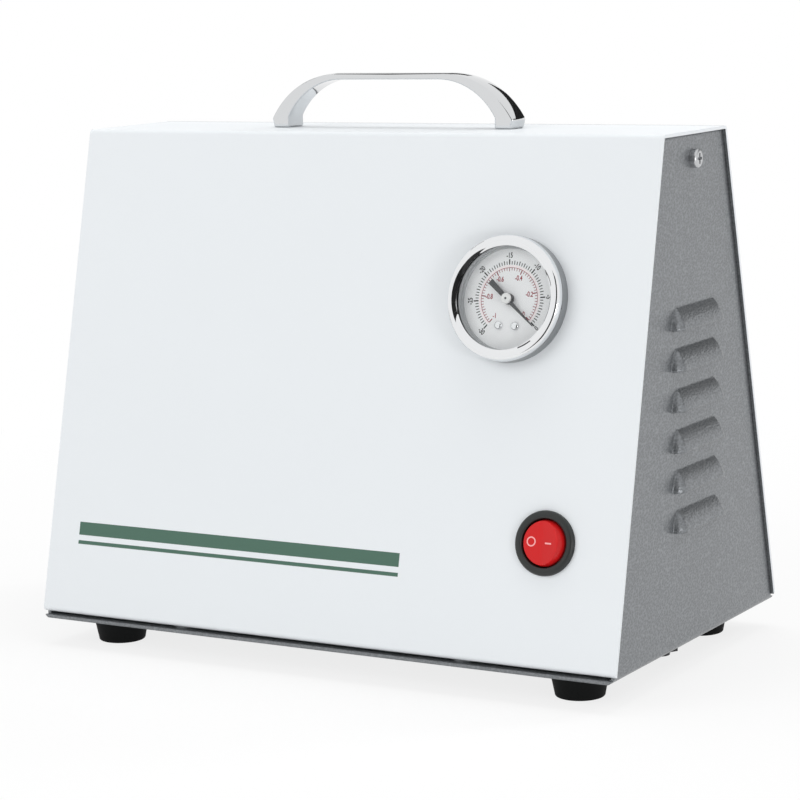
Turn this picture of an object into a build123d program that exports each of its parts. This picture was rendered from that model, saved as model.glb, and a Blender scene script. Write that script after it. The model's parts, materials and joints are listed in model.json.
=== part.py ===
from build123d import *
import os
from math import atan2, ceil, cos, pi, radians, sin, tan

# Bench-top diaphragm vacuum pump.
# Millimetres. +Z is up, the front faces -Y, and the origin is on the floor under the casing's middle.

# ---------------------------------------------------------------- sizes of the casing
case_width = 245.0          # length of the white cover along X
case_height = 185.0         # underside of the chassis to the top of the cover
base_depth = 142.0          # front to back at the chassis
top_depth = 54.0            # front to back at the top of the cover
cover_sheet = 1.2           # steel sheet of the cover
chassis_sheet = 1.2         # steel sheet of the chassis
cover_bend = 1.75           # outside radius of the cover's bends
chassis_bend = 2.0          # outside radius of the chassis' bends
cover_lift = 0.9            # height of the dimples that carry the cover's flanges
side_setback = 1.2          # how far the chassis' sides stand in from the cover's ends
panel_gap = 0.3             # gap between the chassis' sides and the cover
flange_depth = 12.0         # inward flange along the cover's bottom edges

# ---------------------------------------------------------------- louvers
louver_count = 6
louver_pitch = 14.5
louver_lowest = 53.7        # height of the lowest lip above the floor
louver_straight = 32.0      # straight length of the lip
louver_height = 8.0
louver_proud = 4.0
louver_wall = 1.1

# ---------------------------------------------------------------- fasteners: shank, head radius, head height
m3 = 1.5
m4 = 2.0
m5 = 2.5
m8 = 4.0
hole_play = 0.2             # radial play of a clearance hole
m3_head = (2.8, 2.0)
m4_head = (3.4, 2.6)
m5_head = (4.6, 3.2)
m3_nut = (5.5, 2.4)         # width across flats, height
m4_nut = (7.0, 3.2)
m5_nut = (8.0, 4.0)
m8_nut = (13.0, 5.0)
seat_gap = 0.05             # gap left between pieces that rest on each other
thread_end = 1.5            # thread that stands out of a nut

# ---------------------------------------------------------------- handle
handle_rise = 20.5          # crown above the cover
handle_shoulder = 52.8      # widest half-span
handle_foot_outer = 52.0
handle_foot_inner = 44.5
handle_outer_bend = 33.5
handle_inner_bend = 27.0
handle_bend_turn = 61.0     # degrees that each corner turns
handle_strap = 2.4          # thickness of the grip at the crown
handle_depth = 10.5
handle_edge = 0.8
handle_thread_depth = 6.0

# ---------------------------------------------------------------- feet
foot_height = 10.5
foot_top_radius = 9.7
foot_bottom_radius = 8.6
foot_inset_x = 23.2         # feet in from the cover's ends
foot_inset_y = 19.6         # feet in from the chassis' front and back
foot_recess_radius = 5.0
foot_recess_depth = 5.5

# ---------------------------------------------------------------- screws of the casing
side_screw_down = 10.0      # side screws below the top of the cover
base_screw_x = 60.0
base_screw_length = 6.0
base_boss = (3.0, 2.5)      # threaded boss on the cover's flange: radius, height
tab_width = 24.0            # tab that takes a side screw
tab_length = 14.0
tab_tail = 8.0              # tab below the screw
tab_boss = 4.0
through = 10.0              # length of a cut that goes right through a sheet

# ---------------------------------------------------------------- rocker switch
switch_inset = 31.3         # switch in from the cover's end
switch_s = 46.4             # distance up the front panel from its bottom edge
switch_bezel_radius = 11.5
switch_bezel_proud = 2.0
switch_barrel_radius = 9.9
switch_bore_radius = 8.6
switch_bore_depth = 7.5
switch_depth = 19.0
rocker_radius = 8.0
rocker_play = 0.25
rocker_pivot = -1.5         # level of the pivot against the panel's face
rocker_throw = 18.0         # degrees from OFF to ON
rocker_rise = 2.2           # rim of the rocker above the panel, level
rocker_pin = 1.0
running_play = 0.05         # radial play of a running fit
blade = (4.8, 0.8, 8.0)     # spade terminal: width, thickness, length

# ---------------------------------------------------------------- vacuum gauge
gauge_inset = 53.6          # gauge in from the cover's end
gauge_s = 131.0
ring_radius = 22.6
ring_proud = 7.0
ring_opening = 18.5
ring_wall = 0.8
gauge_hole = 20.2
gauge_tube_radius = 19.8
gauge_tube_wall = 1.3
gauge_depth = 18.0          # case behind the panel's face
lens_thickness = 1.5
lens_top = 5.9
dial_radius = 18.9
dial_thickness = 0.6
dial_level = 0.6            # back of the dial
dial_screw_x = 3.3
dial_screw_y = -9.7
pointer_level = 3.0
pointer_tip = 14.6
pointer_tail = 9.2
pointer_rest = -40.0        # direction of the zero mark, in degrees from +X
pointer_sweep = 270.0
arbor_radius = 0.7
gear_module = 0.3
pinion_teeth = 12
sector_teeth = 60           # teeth that a whole wheel of the sector's size would have
gear_width = 1.6
pinion_level = -8.4
tooth_share = 0.40          # part of the pitch that a tooth fills
plate_top = -4.0            # front face of the movement's front plate
plate_bottom = -14.0        # back face of the movement's rear plate
plate_thickness = 1.0
bourdon_radius = 16.3
bourdon_section = (1.6, 4.5)
socket_radius = 6.0
socket_end = -22.5
hose_barb = 2.6             # radius of every hose barb, and of the hoses' bore
gauge_barb = 11.0
clamp_strip = 1.2           # steel strip of the gauge's clamp
clamp_widths = (32.0, 16.0) # clamp across its bridge, and across its legs
clamp_play = 0.8            # clamp's legs to the case
clamp_stud = 8.0            # studs behind the case

# ---------------------------------------------------------------- mains inlet
inlet_inset = 37.5          # inlet in from the cover's end
inlet_s = 38.0
inlet_flange = (50.0, 34.0, 3.0)
inlet_body = (28.4, 31.0, 22.0)
inlet_screw_x = 20.0
socket_cavity = (24.4, 16.4, 16.5)
socket_up = 6.0             # middle of the socket above the middle of the flange
pin_size = (2.0, 4.0)
pin_spread = 7.0
drawer_size = (21.6, 7.0, 20.0)
drawer_down = 10.6
drawer_travel = 18.0
drawer_lip = 1.5
drawer_play = 0.3
fuse_radius = 2.5
fuse_length = 20.0

# ---------------------------------------------------------------- motor and pump unit
head_side_gap = 8.1         # pump head to the chassis' side
mount_height = 12.0
mount_radius = 8.0
mount_y = 40.0
mount_inset = (24.0, 12.0)  # mounts in from the plate's ends
mount_thread = 4.0          # depth of a stud in its rubber
plate_sheet = 2.0
plate_margin = (5.0, 12.0)  # plate beyond the crankcase, and beyond the fan-end bell
plate_edge = 10.0           # plate beyond the mounts, front and back
plate_corner = 5.0
plate_window = 20.0         # half width of the window under the stator
unit_screw_y = 28.0
unit_screw_bite = 8.0       # thread in the castings
unit_screw_hole = 9.0
axis_rise = 44.0            # motor axis above the mounting plate
stator_half = 39.0          # half of the square stator stack
stator_bore = 22.0
stator_length = 44.0
slot_count = 12
slot_inner = 24.5
slot_outer = 33.0
slot_width = 6.0
air_gap = 0.5
tie_bolt_offset = 33.0
winding_reach = 13.0
shaft_radius = 5.0
bearing_radius = 15.0
bearing_width = 9.0
inner_ring = 7.8
seal_play = 0.08
bearing_relief = 1.5        # castings clear of the inner rings
crank_throw = 3.5
crank_radius = 10.0
crank_ring = 12.6           # outside of the crank bearing's inner ring
crank_bearing_radius = 18.5
rod_length = 44.0           # crank centre to the diaphragm's middle plane
rod_eye_wall = 4.5
rod_width = 9.0
rod_shank = 14.0            # width of the rod's shank
rod_web = (3.0, 24.0)       # stiffening web: thickness, width
rod_seat = (14.0, 3.0)      # seat under the diaphragm: radius, height
clamp_bite = 10.0           # thread of the clamp screw in the rod
head_half = 32.0
crankcase_inner_x = 20.0
crankcase_wall = 5.0
crankcase_gap = 2.5
crankcase_flange = 8.0      # thickness of the flange under the diaphragm
crankcase_floor = 14.0      # solid foot under the crank chamber
crankcase_rim = 2.0         # rim left round the opening in the crankcase's end
vent_width = 28.0           # vents of the drive-end bell
vent_rise = 25.0            # vents start this far above and below the axis
vent_foot = 6.0             # metal left under the lower vent
cup_wall = 3.5              # wall of the bells round the winding heads
casting_corner = 7.0
motor_flange = 6.0
fan_radius = 33.0
fan_blades = 7
fan_length = 15.0
counterweight_radius = 20.0
counterweight_width = 7.0
counterweight_top = 4.0     # the weight reaches this far above the axis

# ---------------------------------------------------------------- diaphragm and head
diaphragm_thickness = 2.0
diaphragm_radius = 30.0
chamber_radius = 26.5
clamp_radius = 18.0
clamp_thickness = 3.0
dead_space = 0.8
valve_roof = 5.0
valve_sheet_thickness = 0.8
head_cover_height = 18.0
head_screw_inset = 6.0      # head screws in from the head's sides
head_corner = 4.0
port_y = 18.5
port_thread = 3.5
port_barb = 14.0
nozzle_x = 15.0
nozzle_radius = 4.0         # crest of the outer barbs, for 8 mm hose
nozzle_land = 8.0           # plain length next to the hexagon
nozzle_barb = 20.0
nozzle_hex = (17.0, 4.0)    # hexagon and its nut: width across flats, height
nozzle_thread = 6.0
nozzle_spacing = 34.0       # exhaust nozzle above the vacuum nozzle, up the panel
tee_radius = 5.5
tee_half = 9.0
stub_radius = 4.5
stub_length = 6.5
barb_ridge = 0.3
hose_wall = 1.5
capacitor_side_gap = 1.6    # capacitor to the chassis' side
capacitor_radius = 12.5
capacitor_height = 60.0
wire = 2.4

# ---------------------------------------------------------------- places worked out from the sizes
lean = atan2((base_depth - top_depth) / 2, case_height)
base_z = foot_height
floor_z = base_z + chassis_sheet
cover_z = floor_z + cover_lift
roof_z = base_z + case_height
roof_under = roof_z - cover_sheet
side_outer = case_width / 2 - side_setback
side_inner = side_outer - chassis_sheet
side_screw_height = roof_z - side_screw_down
foot_x = case_width / 2 - foot_inset_x
foot_y = base_depth / 2 - foot_inset_y
switch_x = case_width / 2 - switch_inset
gauge_x = case_width / 2 - gauge_inset
inlet_x = case_width / 2 - inlet_inset
capacitor_x = side_inner - capacitor_side_gap - capacitor_radius
head_x = head_side_gap + head_half - side_inner
head_screw_offset = head_half - head_screw_inset

plate_z = floor_z + mount_height + plate_sheet
axis_z = plate_z + axis_rise
diaphragm_z = axis_z + rod_length
rim_bottom = diaphragm_z - diaphragm_thickness / 2
rim_top = diaphragm_z + diaphragm_thickness / 2
chamber_height = crank_throw + clamp_thickness + dead_space
valve_top = rim_top + chamber_height + valve_roof
sheet_top = valve_top + valve_sheet_thickness
head_top = sheet_top + head_cover_height
port_z = sheet_top + head_cover_height / 2

rod_eye = crank_bearing_radius + rod_eye_wall
crankcase_inner_y = rod_eye + crank_throw + crankcase_gap
crankcase_front = head_x - crankcase_inner_x - crankcase_wall
crankcase_rear = head_x + crankcase_inner_x
bearing_seat_a = crankcase_rear + 2.0
flange_a = bearing_seat_a + bearing_width
cup_a = flange_a + motor_flange
stator_a = cup_a + winding_reach
stator_b = stator_a + stator_length
bell_inner = stator_b + winding_reach
bearing_seat_b = bell_inner - 2.0
bell_end = bearing_seat_b + bearing_width + 2.0
fan_a = bell_end + 3.0
fan_b = fan_a + fan_length
shaft_a = head_x - rod_width / 2 - 4.0
shaft_b = fan_b + 2.0
plate_x = (crankcase_front - plate_margin[0], bell_end + plate_margin[1])
plate_y = mount_y + plate_edge
mount_x = (plate_x[0] + mount_inset[0], plate_x[1] - mount_inset[1])

FRONT = Plane(origin=(0, -base_depth / 2, base_z), x_dir=(1, 0, 0), z_dir=(0, -cos(lean), sin(lean)))
BACK = Plane(origin=(0, base_depth / 2, base_z), x_dir=(-1, 0, 0), z_dir=(0, cos(lean), sin(lean)))


# ---------------------------------------------------------------- small helpers
def on_front(x, s, out=0.0):
    """Place on the front panel: x along it, s up it, out of it."""
    return FRONT.location * Pos(x, s, out)


def on_back(x, s, out=0.0):
    """Place on the back panel, with x still counted along the pump's X."""
    return BACK.location * Pos(-x, s, out)


def back_panel_place(y, z):
    """Distance up the back panel, and out of it, of a point at y, z."""
    dy = y - base_depth / 2
    dz = z - base_z
    return -dy * sin(lean) + dz * cos(lean), dy * cos(lean) + dz * sin(lean)


def block(x0, x1, y0, y1, z0, z1):
    return Pos((x0 + x1) / 2, (y0 + y1) / 2, (z0 + z1) / 2) * Box(x1 - x0, y1 - y0, z1 - z0)


def rod(radius, z0, z1, x=0.0, y=0.0):
    return Pos(x, y, (z0 + z1) / 2) * Cylinder(radius, z1 - z0)


def tube(outer, inner, z0, z1, x=0.0, y=0.0):
    return rod(outer, z0, z1, x, y) - rod(inner, z0 - 1, z1 + 1, x, y)


def rod_x(radius, x0, x1, y=0.0, z=0.0):
    return Pos((x0 + x1) / 2, y, z) * Rot(0, 90, 0) * Cylinder(radius, x1 - x0)


def tube_x(outer, inner, x0, x1, y=0.0, z=0.0):
    return rod_x(outer, x0, x1, y, z) - rod_x(inner, x0 - 1, x1 + 1, y, z)


def turned(points):
    """Solid of revolution about Z from a closed outline of (radius, height)."""
    return revolve(make_face(Plane.XZ * Polyline(*points, close=True)), Axis.Z)


def nut(size, hole, z0, x=0.0, y=0.0):
    flats, height = size
    body = extrude(RegularPolygon(flats / 2, 6, major_radius=False), height)
    return Pos(x, y, z0) * (body - rod(hole, -1, height + 1))


def pan_screw(shank, head, length):
    """Pan head screw: the head's underside at height 0, the head up, the shank down."""
    radius, height = head
    body = rod(shank, -length, 0) + fillet(rod(radius, 0, height).edges().sort_by(Axis.Z)[-1], height * 0.4)
    slot = radius * 1.1
    width = radius * 0.28
    cross = Box(slot, width, height) + Box(width, slot, height)
    return body - Pos(0, 0, height) * cross


def group(*solids):
    """Several separate solids as one node."""
    return Compound(children=[piece for item in solids for piece in item.solids()])


def barb(length, bore, ridges=3):
    """Hose barb along +Z from height 0, with saw-tooth ridges."""
    step = length / (ridges + 0.5)
    points = [(bore, 0), (hose_barb, 0)]
    for index in range(ridges):
        foot = step * (index + 0.5)
        points += [(hose_barb, foot), (hose_barb + barb_ridge, foot), (hose_barb, foot + step * 0.7)]
    points += [(hose_barb - 0.4, length), (bore, length)]
    return turned(points)


def routed_tube(name, points, outer, inner=0.0):
    """Tube along straight runs joined by arcs as large as the runs allow."""
    vectors = [Vector(*p) for p in points]
    radii = []
    for before, corner, after in zip(vectors, vectors[1:], vectors[2:]):
        half_turn = radians((corner - before).get_angle(after - corner)) / 2
        shorter = min((corner - before).length, (after - corner).length)
        radii.append(0.45 * shorter / tan(half_turn))
    print(name, "bend radii:", [round(r, 1) for r in radii])
    path = FilletPolyline(*vectors, radius=radii) if radii else Line(*vectors)
    section = Plane(origin=vectors[0], z_dir=vectors[1] - vectors[0]) * Circle(outer)
    if inner:
        section -= Plane(origin=vectors[0], z_dir=vectors[1] - vectors[0]) * Circle(inner)
    return sweep(section, path=path)


def casing_prism(z0, z1, inset, half_length, radius=0.0):
    """Trapezoid of the casing, inset square to its panels, as a prism along X."""
    def half(z):
        return base_depth / 2 - (z - base_z) * tan(lean) - inset / cos(lean)
    corners = [(-half(z0), z0), (half(z0), z0), (half(z1), z1), (-half(z1), z1)]
    face = make_face(Polyline(*corners, close=True))
    if radius:
        face = fillet(face.vertices(), radius)
    return extrude(Plane.YZ * face, half_length, both=True)


# ---------------------------------------------------------------- casing
def base_screw_places():
    edge = base_depth / 2 - cover_lift * tan(lean) - cover_sheet - flange_depth / 2
    return [(x, y) for x in (-base_screw_x, base_screw_x) for y in (-edge, edge)]


def foot_places():
    return [(x, y) for x in (-foot_x, foot_x) for y in (-foot_y, foot_y)]


def mount_places():
    return [(x, y) for x in mount_x for y in (-mount_y, mount_y)]


def make_cover():
    half = case_width / 2
    shell = casing_prism(cover_z, roof_z, 0, half, cover_bend)
    shell -= casing_prism(cover_z + cover_sheet, roof_under, cover_sheet, half + 1, cover_bend - cover_sheet)
    open_half = base_depth / 2 - cover_sheet - flange_depth
    shell -= block(-half - 1, half + 1, -open_half, open_half, cover_z - 1, cover_z + cover_bend + cover_sheet)
    flange_end = side_inner - panel_gap
    inside = casing_prism(cover_z - 1, roof_under, cover_sheet, half + 1)
    shell -= inside - block(-flange_end, flange_end, -base_depth, base_depth, 0, 2 * roof_z)
    for x, y in base_screw_places():
        shell += rod(base_boss[0], cover_z + cover_sheet, cover_z + cover_sheet + base_boss[1], x, y)
        shell -= rod(m3, cover_z - 1, cover_z + through, x, y)
    tab = make_screw_tab()
    shell += tab + mirror(tab, Plane.YZ)
    for x in (-handle_screw_x(), handle_screw_x()):
        shell -= rod(m5 + hole_play, roof_under - 1, roof_z + 1, x, 0)
    shell -= on_front(gauge_x, gauge_s) * Cylinder(gauge_hole, through)
    shell -= on_front(switch_x, switch_s) * Cylinder(switch_barrel_radius + hole_play, through)
    width, height = inlet_body[0] + 2 * hole_play, inlet_body[1] + 2 * hole_play
    shell -= on_back(inlet_x, inlet_s) * Box(width, height, through)
    for side in (-1, 1):
        shell -= on_back(inlet_x + side * inlet_screw_x, inlet_s) * Cylinder(m3 + hole_play, through)
    for s in nozzle_heights():
        shell -= on_back(nozzle_x, s) * Cylinder(nozzle_thread + hole_play, through)
    return shell


def make_screw_tab():
    """Bent tab under the cover's top that takes the right side screw."""
    outer = side_inner - panel_gap
    half = tab_width / 2
    leg = block(outer - cover_sheet, outer, -half, half, side_screw_height - tab_tail, roof_under)
    leg += block(outer - tab_length, outer, -half, half, roof_under - cover_sheet, roof_under)
    leg += rod_x(2 * m4, outer - tab_boss, outer, 0, side_screw_height)
    return leg - rod_x(m4, outer - tab_boss - 1, outer + 1, 0, side_screw_height)


def louver_solids():
    """One louver at the origin, standing out along +X from the face at x = 0: metal, and the space inside."""
    def outline(shift, low):
        lip = louver_proud - shift
        belly = (louver_proud * 0.66 - shift, louver_height * 0.55)
        return lip, belly, low
    half = louver_straight / 2

    def prism(shift, low, back):
        lip, belly, bottom = outline(shift, low)
        edge = ThreePointArc((lip, 0.6), belly, (-shift, louver_height))
        wire = Polyline((-shift, louver_height), (back, louver_height), (back, bottom), (lip, bottom), (lip, 0.6))
        face = make_face([edge, *wire.edges()])
        straight = extrude(Plane.XZ * face, half, both=True)
        keep = make_face(Polyline((0, bottom), (20, bottom), (20, 20), (0, 20), close=True))
        quarter = revolve(Plane.XZ * (face & keep), Axis.Z)
        return straight, Pos(0, half, 0) * quarter + Pos(0, -half, 0) * quarter

    hood, hood_ends = prism(0.0, 0.0, -chassis_sheet)
    space, space_ends = prism(louver_wall, -0.1, -chassis_sheet - 0.5)
    return hood + hood_ends, space + space_ends


def make_chassis():
    top = roof_under - panel_gap
    outer = Rectangle(2 * side_outer, top + 20 - base_z)
    outer = fillet(outer.vertices().group_by(Axis.Y)[0], chassis_bend)
    inner = Rectangle(2 * side_inner, top + 20 - floor_z)
    inner = fillet(inner.vertices().group_by(Axis.Y)[0], chassis_bend - chassis_sheet)
    outer = Pos(0, (top + 20 + base_z) / 2) * outer
    inner = Pos(0, (top + 20 + floor_z) / 2) * inner
    body = extrude(Plane.XZ * (outer - inner), base_depth / 2, both=True)
    keep = casing_prism(base_z - 20, top, cover_sheet + panel_gap, case_width)
    above = block(-case_width, case_width, -base_depth, base_depth, floor_z, roof_z + 40) - keep
    body -= above
    hood, space = louver_solids()
    for index in range(louver_count):
        z = louver_lowest + index * louver_pitch
        metal = Pos(side_outer, 0, z) * hood
        hollow = Pos(side_outer, 0, z) * space
        body = body + metal - hollow
        body = body + mirror(metal, Plane.YZ) - mirror(hollow, Plane.YZ)
    for x, y in base_screw_places():
        body += rod(3 * m3, floor_z - 0.1, cover_z, x, y)
        body -= rod(3 * m3 - chassis_sheet, base_z - 1, base_z + cover_lift, x, y)
        body -= rod(m3 + hole_play, base_z - 1, cover_z + 1, x, y)
    for x, y in foot_places() + mount_places():
        body -= rod(m4 + hole_play, base_z - 1, floor_z + 1, x, y)
    body -= rod(m8 + hole_play, base_z - 1, floor_z + 1, capacitor_x, 0)
    body -= rod_x(m4 + hole_play, -side_outer - 1, side_outer + 1, 0, side_screw_height)
    return body


def handle_screw_x():
    return (handle_foot_outer + handle_foot_inner) / 2


def handle_half_outline():
    turn = radians(handle_bend_turn)
    crown = handle_rise
    inner_crown = handle_rise - handle_strap
    x_out = handle_shoulder - handle_outer_bend * sin(turn)
    x_in = handle_foot_inner - handle_inner_bend * sin(turn)
    z_out = crown - handle_outer_bend * (1 - cos(turn))
    z_in = inner_crown - handle_inner_bend * (1 - cos(turn))
    half = turn / 2
    mid_out = (x_out + handle_outer_bend * sin(half), crown - handle_outer_bend * (1 - cos(half)))
    mid_in = (x_in + handle_inner_bend * sin(half), inner_crown - handle_inner_bend * (1 - cos(half)))
    return [
        Line((0, crown), (x_out, crown)),
        ThreePointArc((x_out, crown), mid_out, (handle_shoulder, z_out)),
        Line((handle_shoulder, z_out), (handle_foot_outer, 0)),
        Line((handle_foot_outer, 0), (handle_foot_inner, 0)),
        Line((handle_foot_inner, 0), (handle_foot_inner, z_in)),
        ThreePointArc((handle_foot_inner, z_in), mid_in, (x_in, inner_crown)),
        Line((x_in, inner_crown), (0, inner_crown)),
        Line((0, inner_crown), (0, crown)),
    ]


def make_handle():
    face = make_face(handle_half_outline())
    half = extrude(Plane.XZ * face, handle_depth / 2, both=True)
    body = half + mirror(half, Plane.YZ)
    rims = [e for f in body.faces().filter_by(Axis.Y) for e in f.edges() if e.center().Z > 0.01]
    body = fillet(rims, handle_edge)
    for x in (-handle_screw_x(), handle_screw_x()):
        body -= rod(m5, -1, handle_thread_depth, x, 0)
    return Pos(0, 0, roof_z + seat_gap) * body


def make_handle_screws():
    length = cover_sheet + handle_thread_depth - 1
    screw = Rot(180, 0, 0) * pan_screw(m5, m5_head, length)
    return group(*[Pos(x, 0, roof_under - seat_gap) * screw for x in (-handle_screw_x(), handle_screw_x())])


def make_side_screws():
    screw = pan_screw(m4, m4_head, side_outer - side_inner + panel_gap + 4.0)
    right = Pos(side_outer + seat_gap, 0, side_screw_height) * Rot(0, 90, 0) * screw
    return group(right, mirror(right, Plane.YZ))


def make_base_screws():
    screw = Rot(180, 0, 0) * pan_screw(m3, m3_head, base_screw_length)
    return group(*[Pos(x, y, base_z + cover_lift - seat_gap) * screw for x, y in base_screw_places()])


def make_rubber_feet():
    foot = turned([(0, 0), (foot_bottom_radius, 0), (foot_top_radius, foot_height), (0, foot_height)])
    foot = fillet(foot.edges().group_by(Axis.Z)[0], 0.8)
    foot -= rod(foot_recess_radius, -1, foot_recess_depth)
    foot -= rod(m4 + hole_play, 0, foot_height + 1)
    return group(*[Pos(x, y, 0) * foot for x, y in foot_places()])


def make_foot_screws():
    length = foot_height - foot_recess_depth + chassis_sheet + m4_nut[1] + 1
    screw = Rot(180, 0, 0) * pan_screw(m4, m4_head, length)
    return group(*[Pos(x, y, foot_recess_depth - seat_gap) * screw for x, y in foot_places()])


# ---------------------------------------------------------------- rocker switch
def make_switch_body():
    bezel = turned([
        (switch_bore_radius, -1), (switch_bore_radius + 1.0, switch_bezel_proud),
        (switch_bezel_radius - 0.8, switch_bezel_proud), (switch_bezel_radius, 0.6),
        (switch_bezel_radius, seat_gap), (switch_barrel_radius, seat_gap), (switch_barrel_radius, -1),
    ])
    barrel = rod(switch_barrel_radius, -switch_depth, -1) - rod(switch_bore_radius, -switch_bore_depth, 0)
    body = bezel + barrel
    clip_back = -cover_sheet - seat_gap
    for side in (-1, 1):
        clip = Polyline((0, clip_back), (0.8, clip_back), (0, clip_back - 4), close=True)
        wedge = extrude(Plane.YZ * make_face(clip), 2.5, both=True)
        body += Pos(0, switch_barrel_radius - 0.1, 0) * wedge if side > 0 else mirror(
            Pos(0, switch_barrel_radius - 0.1, 0) * wedge, Plane.XZ)
    bearing = Pos(0, 0, rocker_pivot) * Rot(90, 0, 0) * Cylinder(
        rocker_pin + running_play, 2 * (switch_bore_radius + 0.9))
    return on_front(switch_x, switch_s) * (body - bearing)


def make_switch_rocker():
    """Level rocker, then tipped by half its throw to the OFF side."""
    valley = rocker_rise - rocker_radius * tan(radians(rocker_throw / 2))
    top = [(-20, valley + 20 * tan(radians(rocker_throw / 2))), (0, valley),
           (20, valley + 20 * tan(radians(rocker_throw / 2))), (20, -5), (-20, -5)]
    cap = extrude(Plane.XZ * make_face(Polyline(*top, close=True)), 20, both=True)
    cap &= rod(rocker_radius, -5, 20)
    cap &= Pos(0, 0, rocker_pivot) * Sphere(switch_bore_radius - rocker_play)
    cap = fillet(cap.edges().filter_by(Axis.Y), 2.0)
    lever = Pos(0, 0, -5.5) * Box(3, 5, 2)
    pins = Pos(0, 0, rocker_pivot) * Rot(90, 0, 0) * Cylinder(rocker_pin, 2 * (switch_bore_radius + 0.6))
    tip = Pos(0, 0, rocker_pivot) * Rot(0, -rocker_throw / 2, 0) * Pos(0, 0, -rocker_pivot)
    return on_front(switch_x, switch_s) * tip * (cap + lever + pins)


def make_switch_terminals():
    width, thickness, length = blade
    return group(*[
        on_front(switch_x + x, switch_s, -switch_depth - length / 2) * Box(thickness, width, length)
        for x in (-4.0, 4.0)])


# ---------------------------------------------------------------- vacuum gauge
def on_gauge():
    return on_front(gauge_x, gauge_s)


def make_gauge_bezel():
    inner = ring_radius - ring_wall
    side_top = ring_proud * 0.62
    outline = [
        Line((inner, seat_gap), (ring_radius, seat_gap)),
        Line((ring_radius, seat_gap), (ring_radius, side_top)),
        ThreePointArc((ring_radius, side_top), (ring_radius - 0.8, ring_proud - 0.75),
                      (ring_radius - 2.6, ring_proud)),
        ThreePointArc((ring_radius - 2.6, ring_proud), (ring_opening + 0.35, ring_proud - 0.35),
                      (ring_opening, lens_top + seat_gap)),
        Line((ring_opening, lens_top + seat_gap), (inner, lens_top + seat_gap)),
        Line((inner, lens_top + seat_gap), (inner, seat_gap)),
    ]
    return on_gauge() * revolve(Plane.XZ * make_face(outline), Axis.Z)


def make_gauge_lens():
    return on_gauge() * rod(ring_radius - ring_wall - 0.2, lens_top - lens_thickness, lens_top)


def make_gauge_case():
    rim = ring_radius - ring_wall - 0.2
    tube_in = gauge_tube_radius - gauge_tube_wall
    rim_top_level = lens_top - lens_thickness - seat_gap
    body = turned([
        (socket_radius + running_play, -gauge_depth), (gauge_tube_radius, -gauge_depth),
        (gauge_tube_radius, seat_gap), (rim, seat_gap), (rim, rim_top_level),
        (dial_radius + 0.1, rim_top_level), (dial_radius + 0.1, dial_level - seat_gap),
        (tube_in, dial_level - seat_gap), (tube_in, -gauge_depth + gauge_tube_wall),
        (socket_radius + running_play, -gauge_depth + gauge_tube_wall),
    ])
    for y in (-clamp_stud_y(), clamp_stud_y()):
        body += rod(m3, -gauge_depth - clamp_stud, -gauge_depth, 0, y)
    return on_gauge() * body


def clamp_stud_y():
    return gauge_tube_radius * 0.66


def make_gauge_dial():
    face = rod(dial_radius, dial_level, dial_level + dial_thickness)
    face -= rod(arbor_radius + 0.5, 0, 5)
    for x in (-dial_screw_x, dial_screw_x):
        face -= rod(0.9, 0, 5, x, dial_screw_y)
    return on_gauge() * face


def make_gauge_dial_screws():
    level = dial_level + dial_thickness + seat_gap
    head = rod(1.5, level, level + 0.9)
    head = fillet(head.edges().sort_by(Axis.Z)[-1], 0.6)
    screw = head + rod(0.8, plate_top - plate_thickness, level)
    return on_gauge() * group(*[Pos(x, dial_screw_y, 0) * screw for x in (-dial_screw_x, dial_screw_x)])


def make_gauge_pointer():
    blade_shape = make_face(Polyline(
        (-pointer_tail, -1.2), (0, -1.2), (pointer_tip, -0.2),
        (pointer_tip, 0.2), (0, 1.2), (-pointer_tail, 1.2), close=True))
    body = Pos(0, 0, pointer_level) * extrude(blade_shape, 0.4)
    hub = rod(2.0, pointer_level - 0.5, pointer_level + 1.2)
    hub = fillet(hub.edges().sort_by(Axis.Z)[-1], 0.5)
    body = body + hub - rod(arbor_radius, pointer_level - 1, pointer_level + 1.0)
    return on_gauge() * Rot(0, 0, pointer_rest) * body


def gear_face(teeth, first, last, turn=0.0):
    """Flat gear outline with teeth from index first to last, tooth 0 pointing along +X."""
    pitch_radius = gear_module * teeth / 2
    tip = pitch_radius + gear_module * 0.85
    root = pitch_radius - gear_module * 1.2
    step = 2 * pi / teeth
    half = tooth_share * step / 2
    slope = gear_module * 0.85 * tan(radians(20)) / pitch_radius
    points = []
    for index in range(first, last + 1):
        middle = index * step + radians(turn)
        for radius, angle in (
            (root, middle - half - slope), (tip, middle - half + slope),
            (tip, middle + half - slope), (root, middle + half + slope),
        ):
            points.append((radius * cos(angle), radius * sin(angle)))
    return points


def gear_centre_distance():
    return gear_module * (pinion_teeth + sector_teeth) / 2


def make_gauge_pinion():
    outline = gear_face(pinion_teeth, 0, pinion_teeth - 1, 180 + 180 / pinion_teeth)
    gear = extrude(make_face(Polyline(*outline, close=True)), gear_width)
    body = Pos(0, 0, pinion_level) * gear
    body += rod(arbor_radius, plate_bottom, pointer_level + 1.0)
    return on_gauge() * body


def sector_swing():
    return pointer_sweep * pinion_teeth / sector_teeth


def make_gauge_sector():
    last = ceil(sector_swing() / (360 / sector_teeth)) + 1
    teeth = gear_face(sector_teeth, -1, last)
    middle = radians(sector_swing() / 2 + 180)
    tail = 3.6
    across = 0.9
    heel = [
        (tail * cos(middle) + across * sin(middle), tail * sin(middle) - across * cos(middle)),
        (tail * cos(middle) - across * sin(middle), tail * sin(middle) + across * cos(middle)),
    ]
    plate = extrude(make_face(Polyline(*teeth, *heel, close=True)), gear_width * 0.8)
    body = Pos(0, 0, pinion_level + gear_width * 0.1) * plate
    body += rod(arbor_radius, plate_bottom, plate_top)
    return on_gauge() * Pos(-gear_centre_distance(), 0, 0) * body


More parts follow.
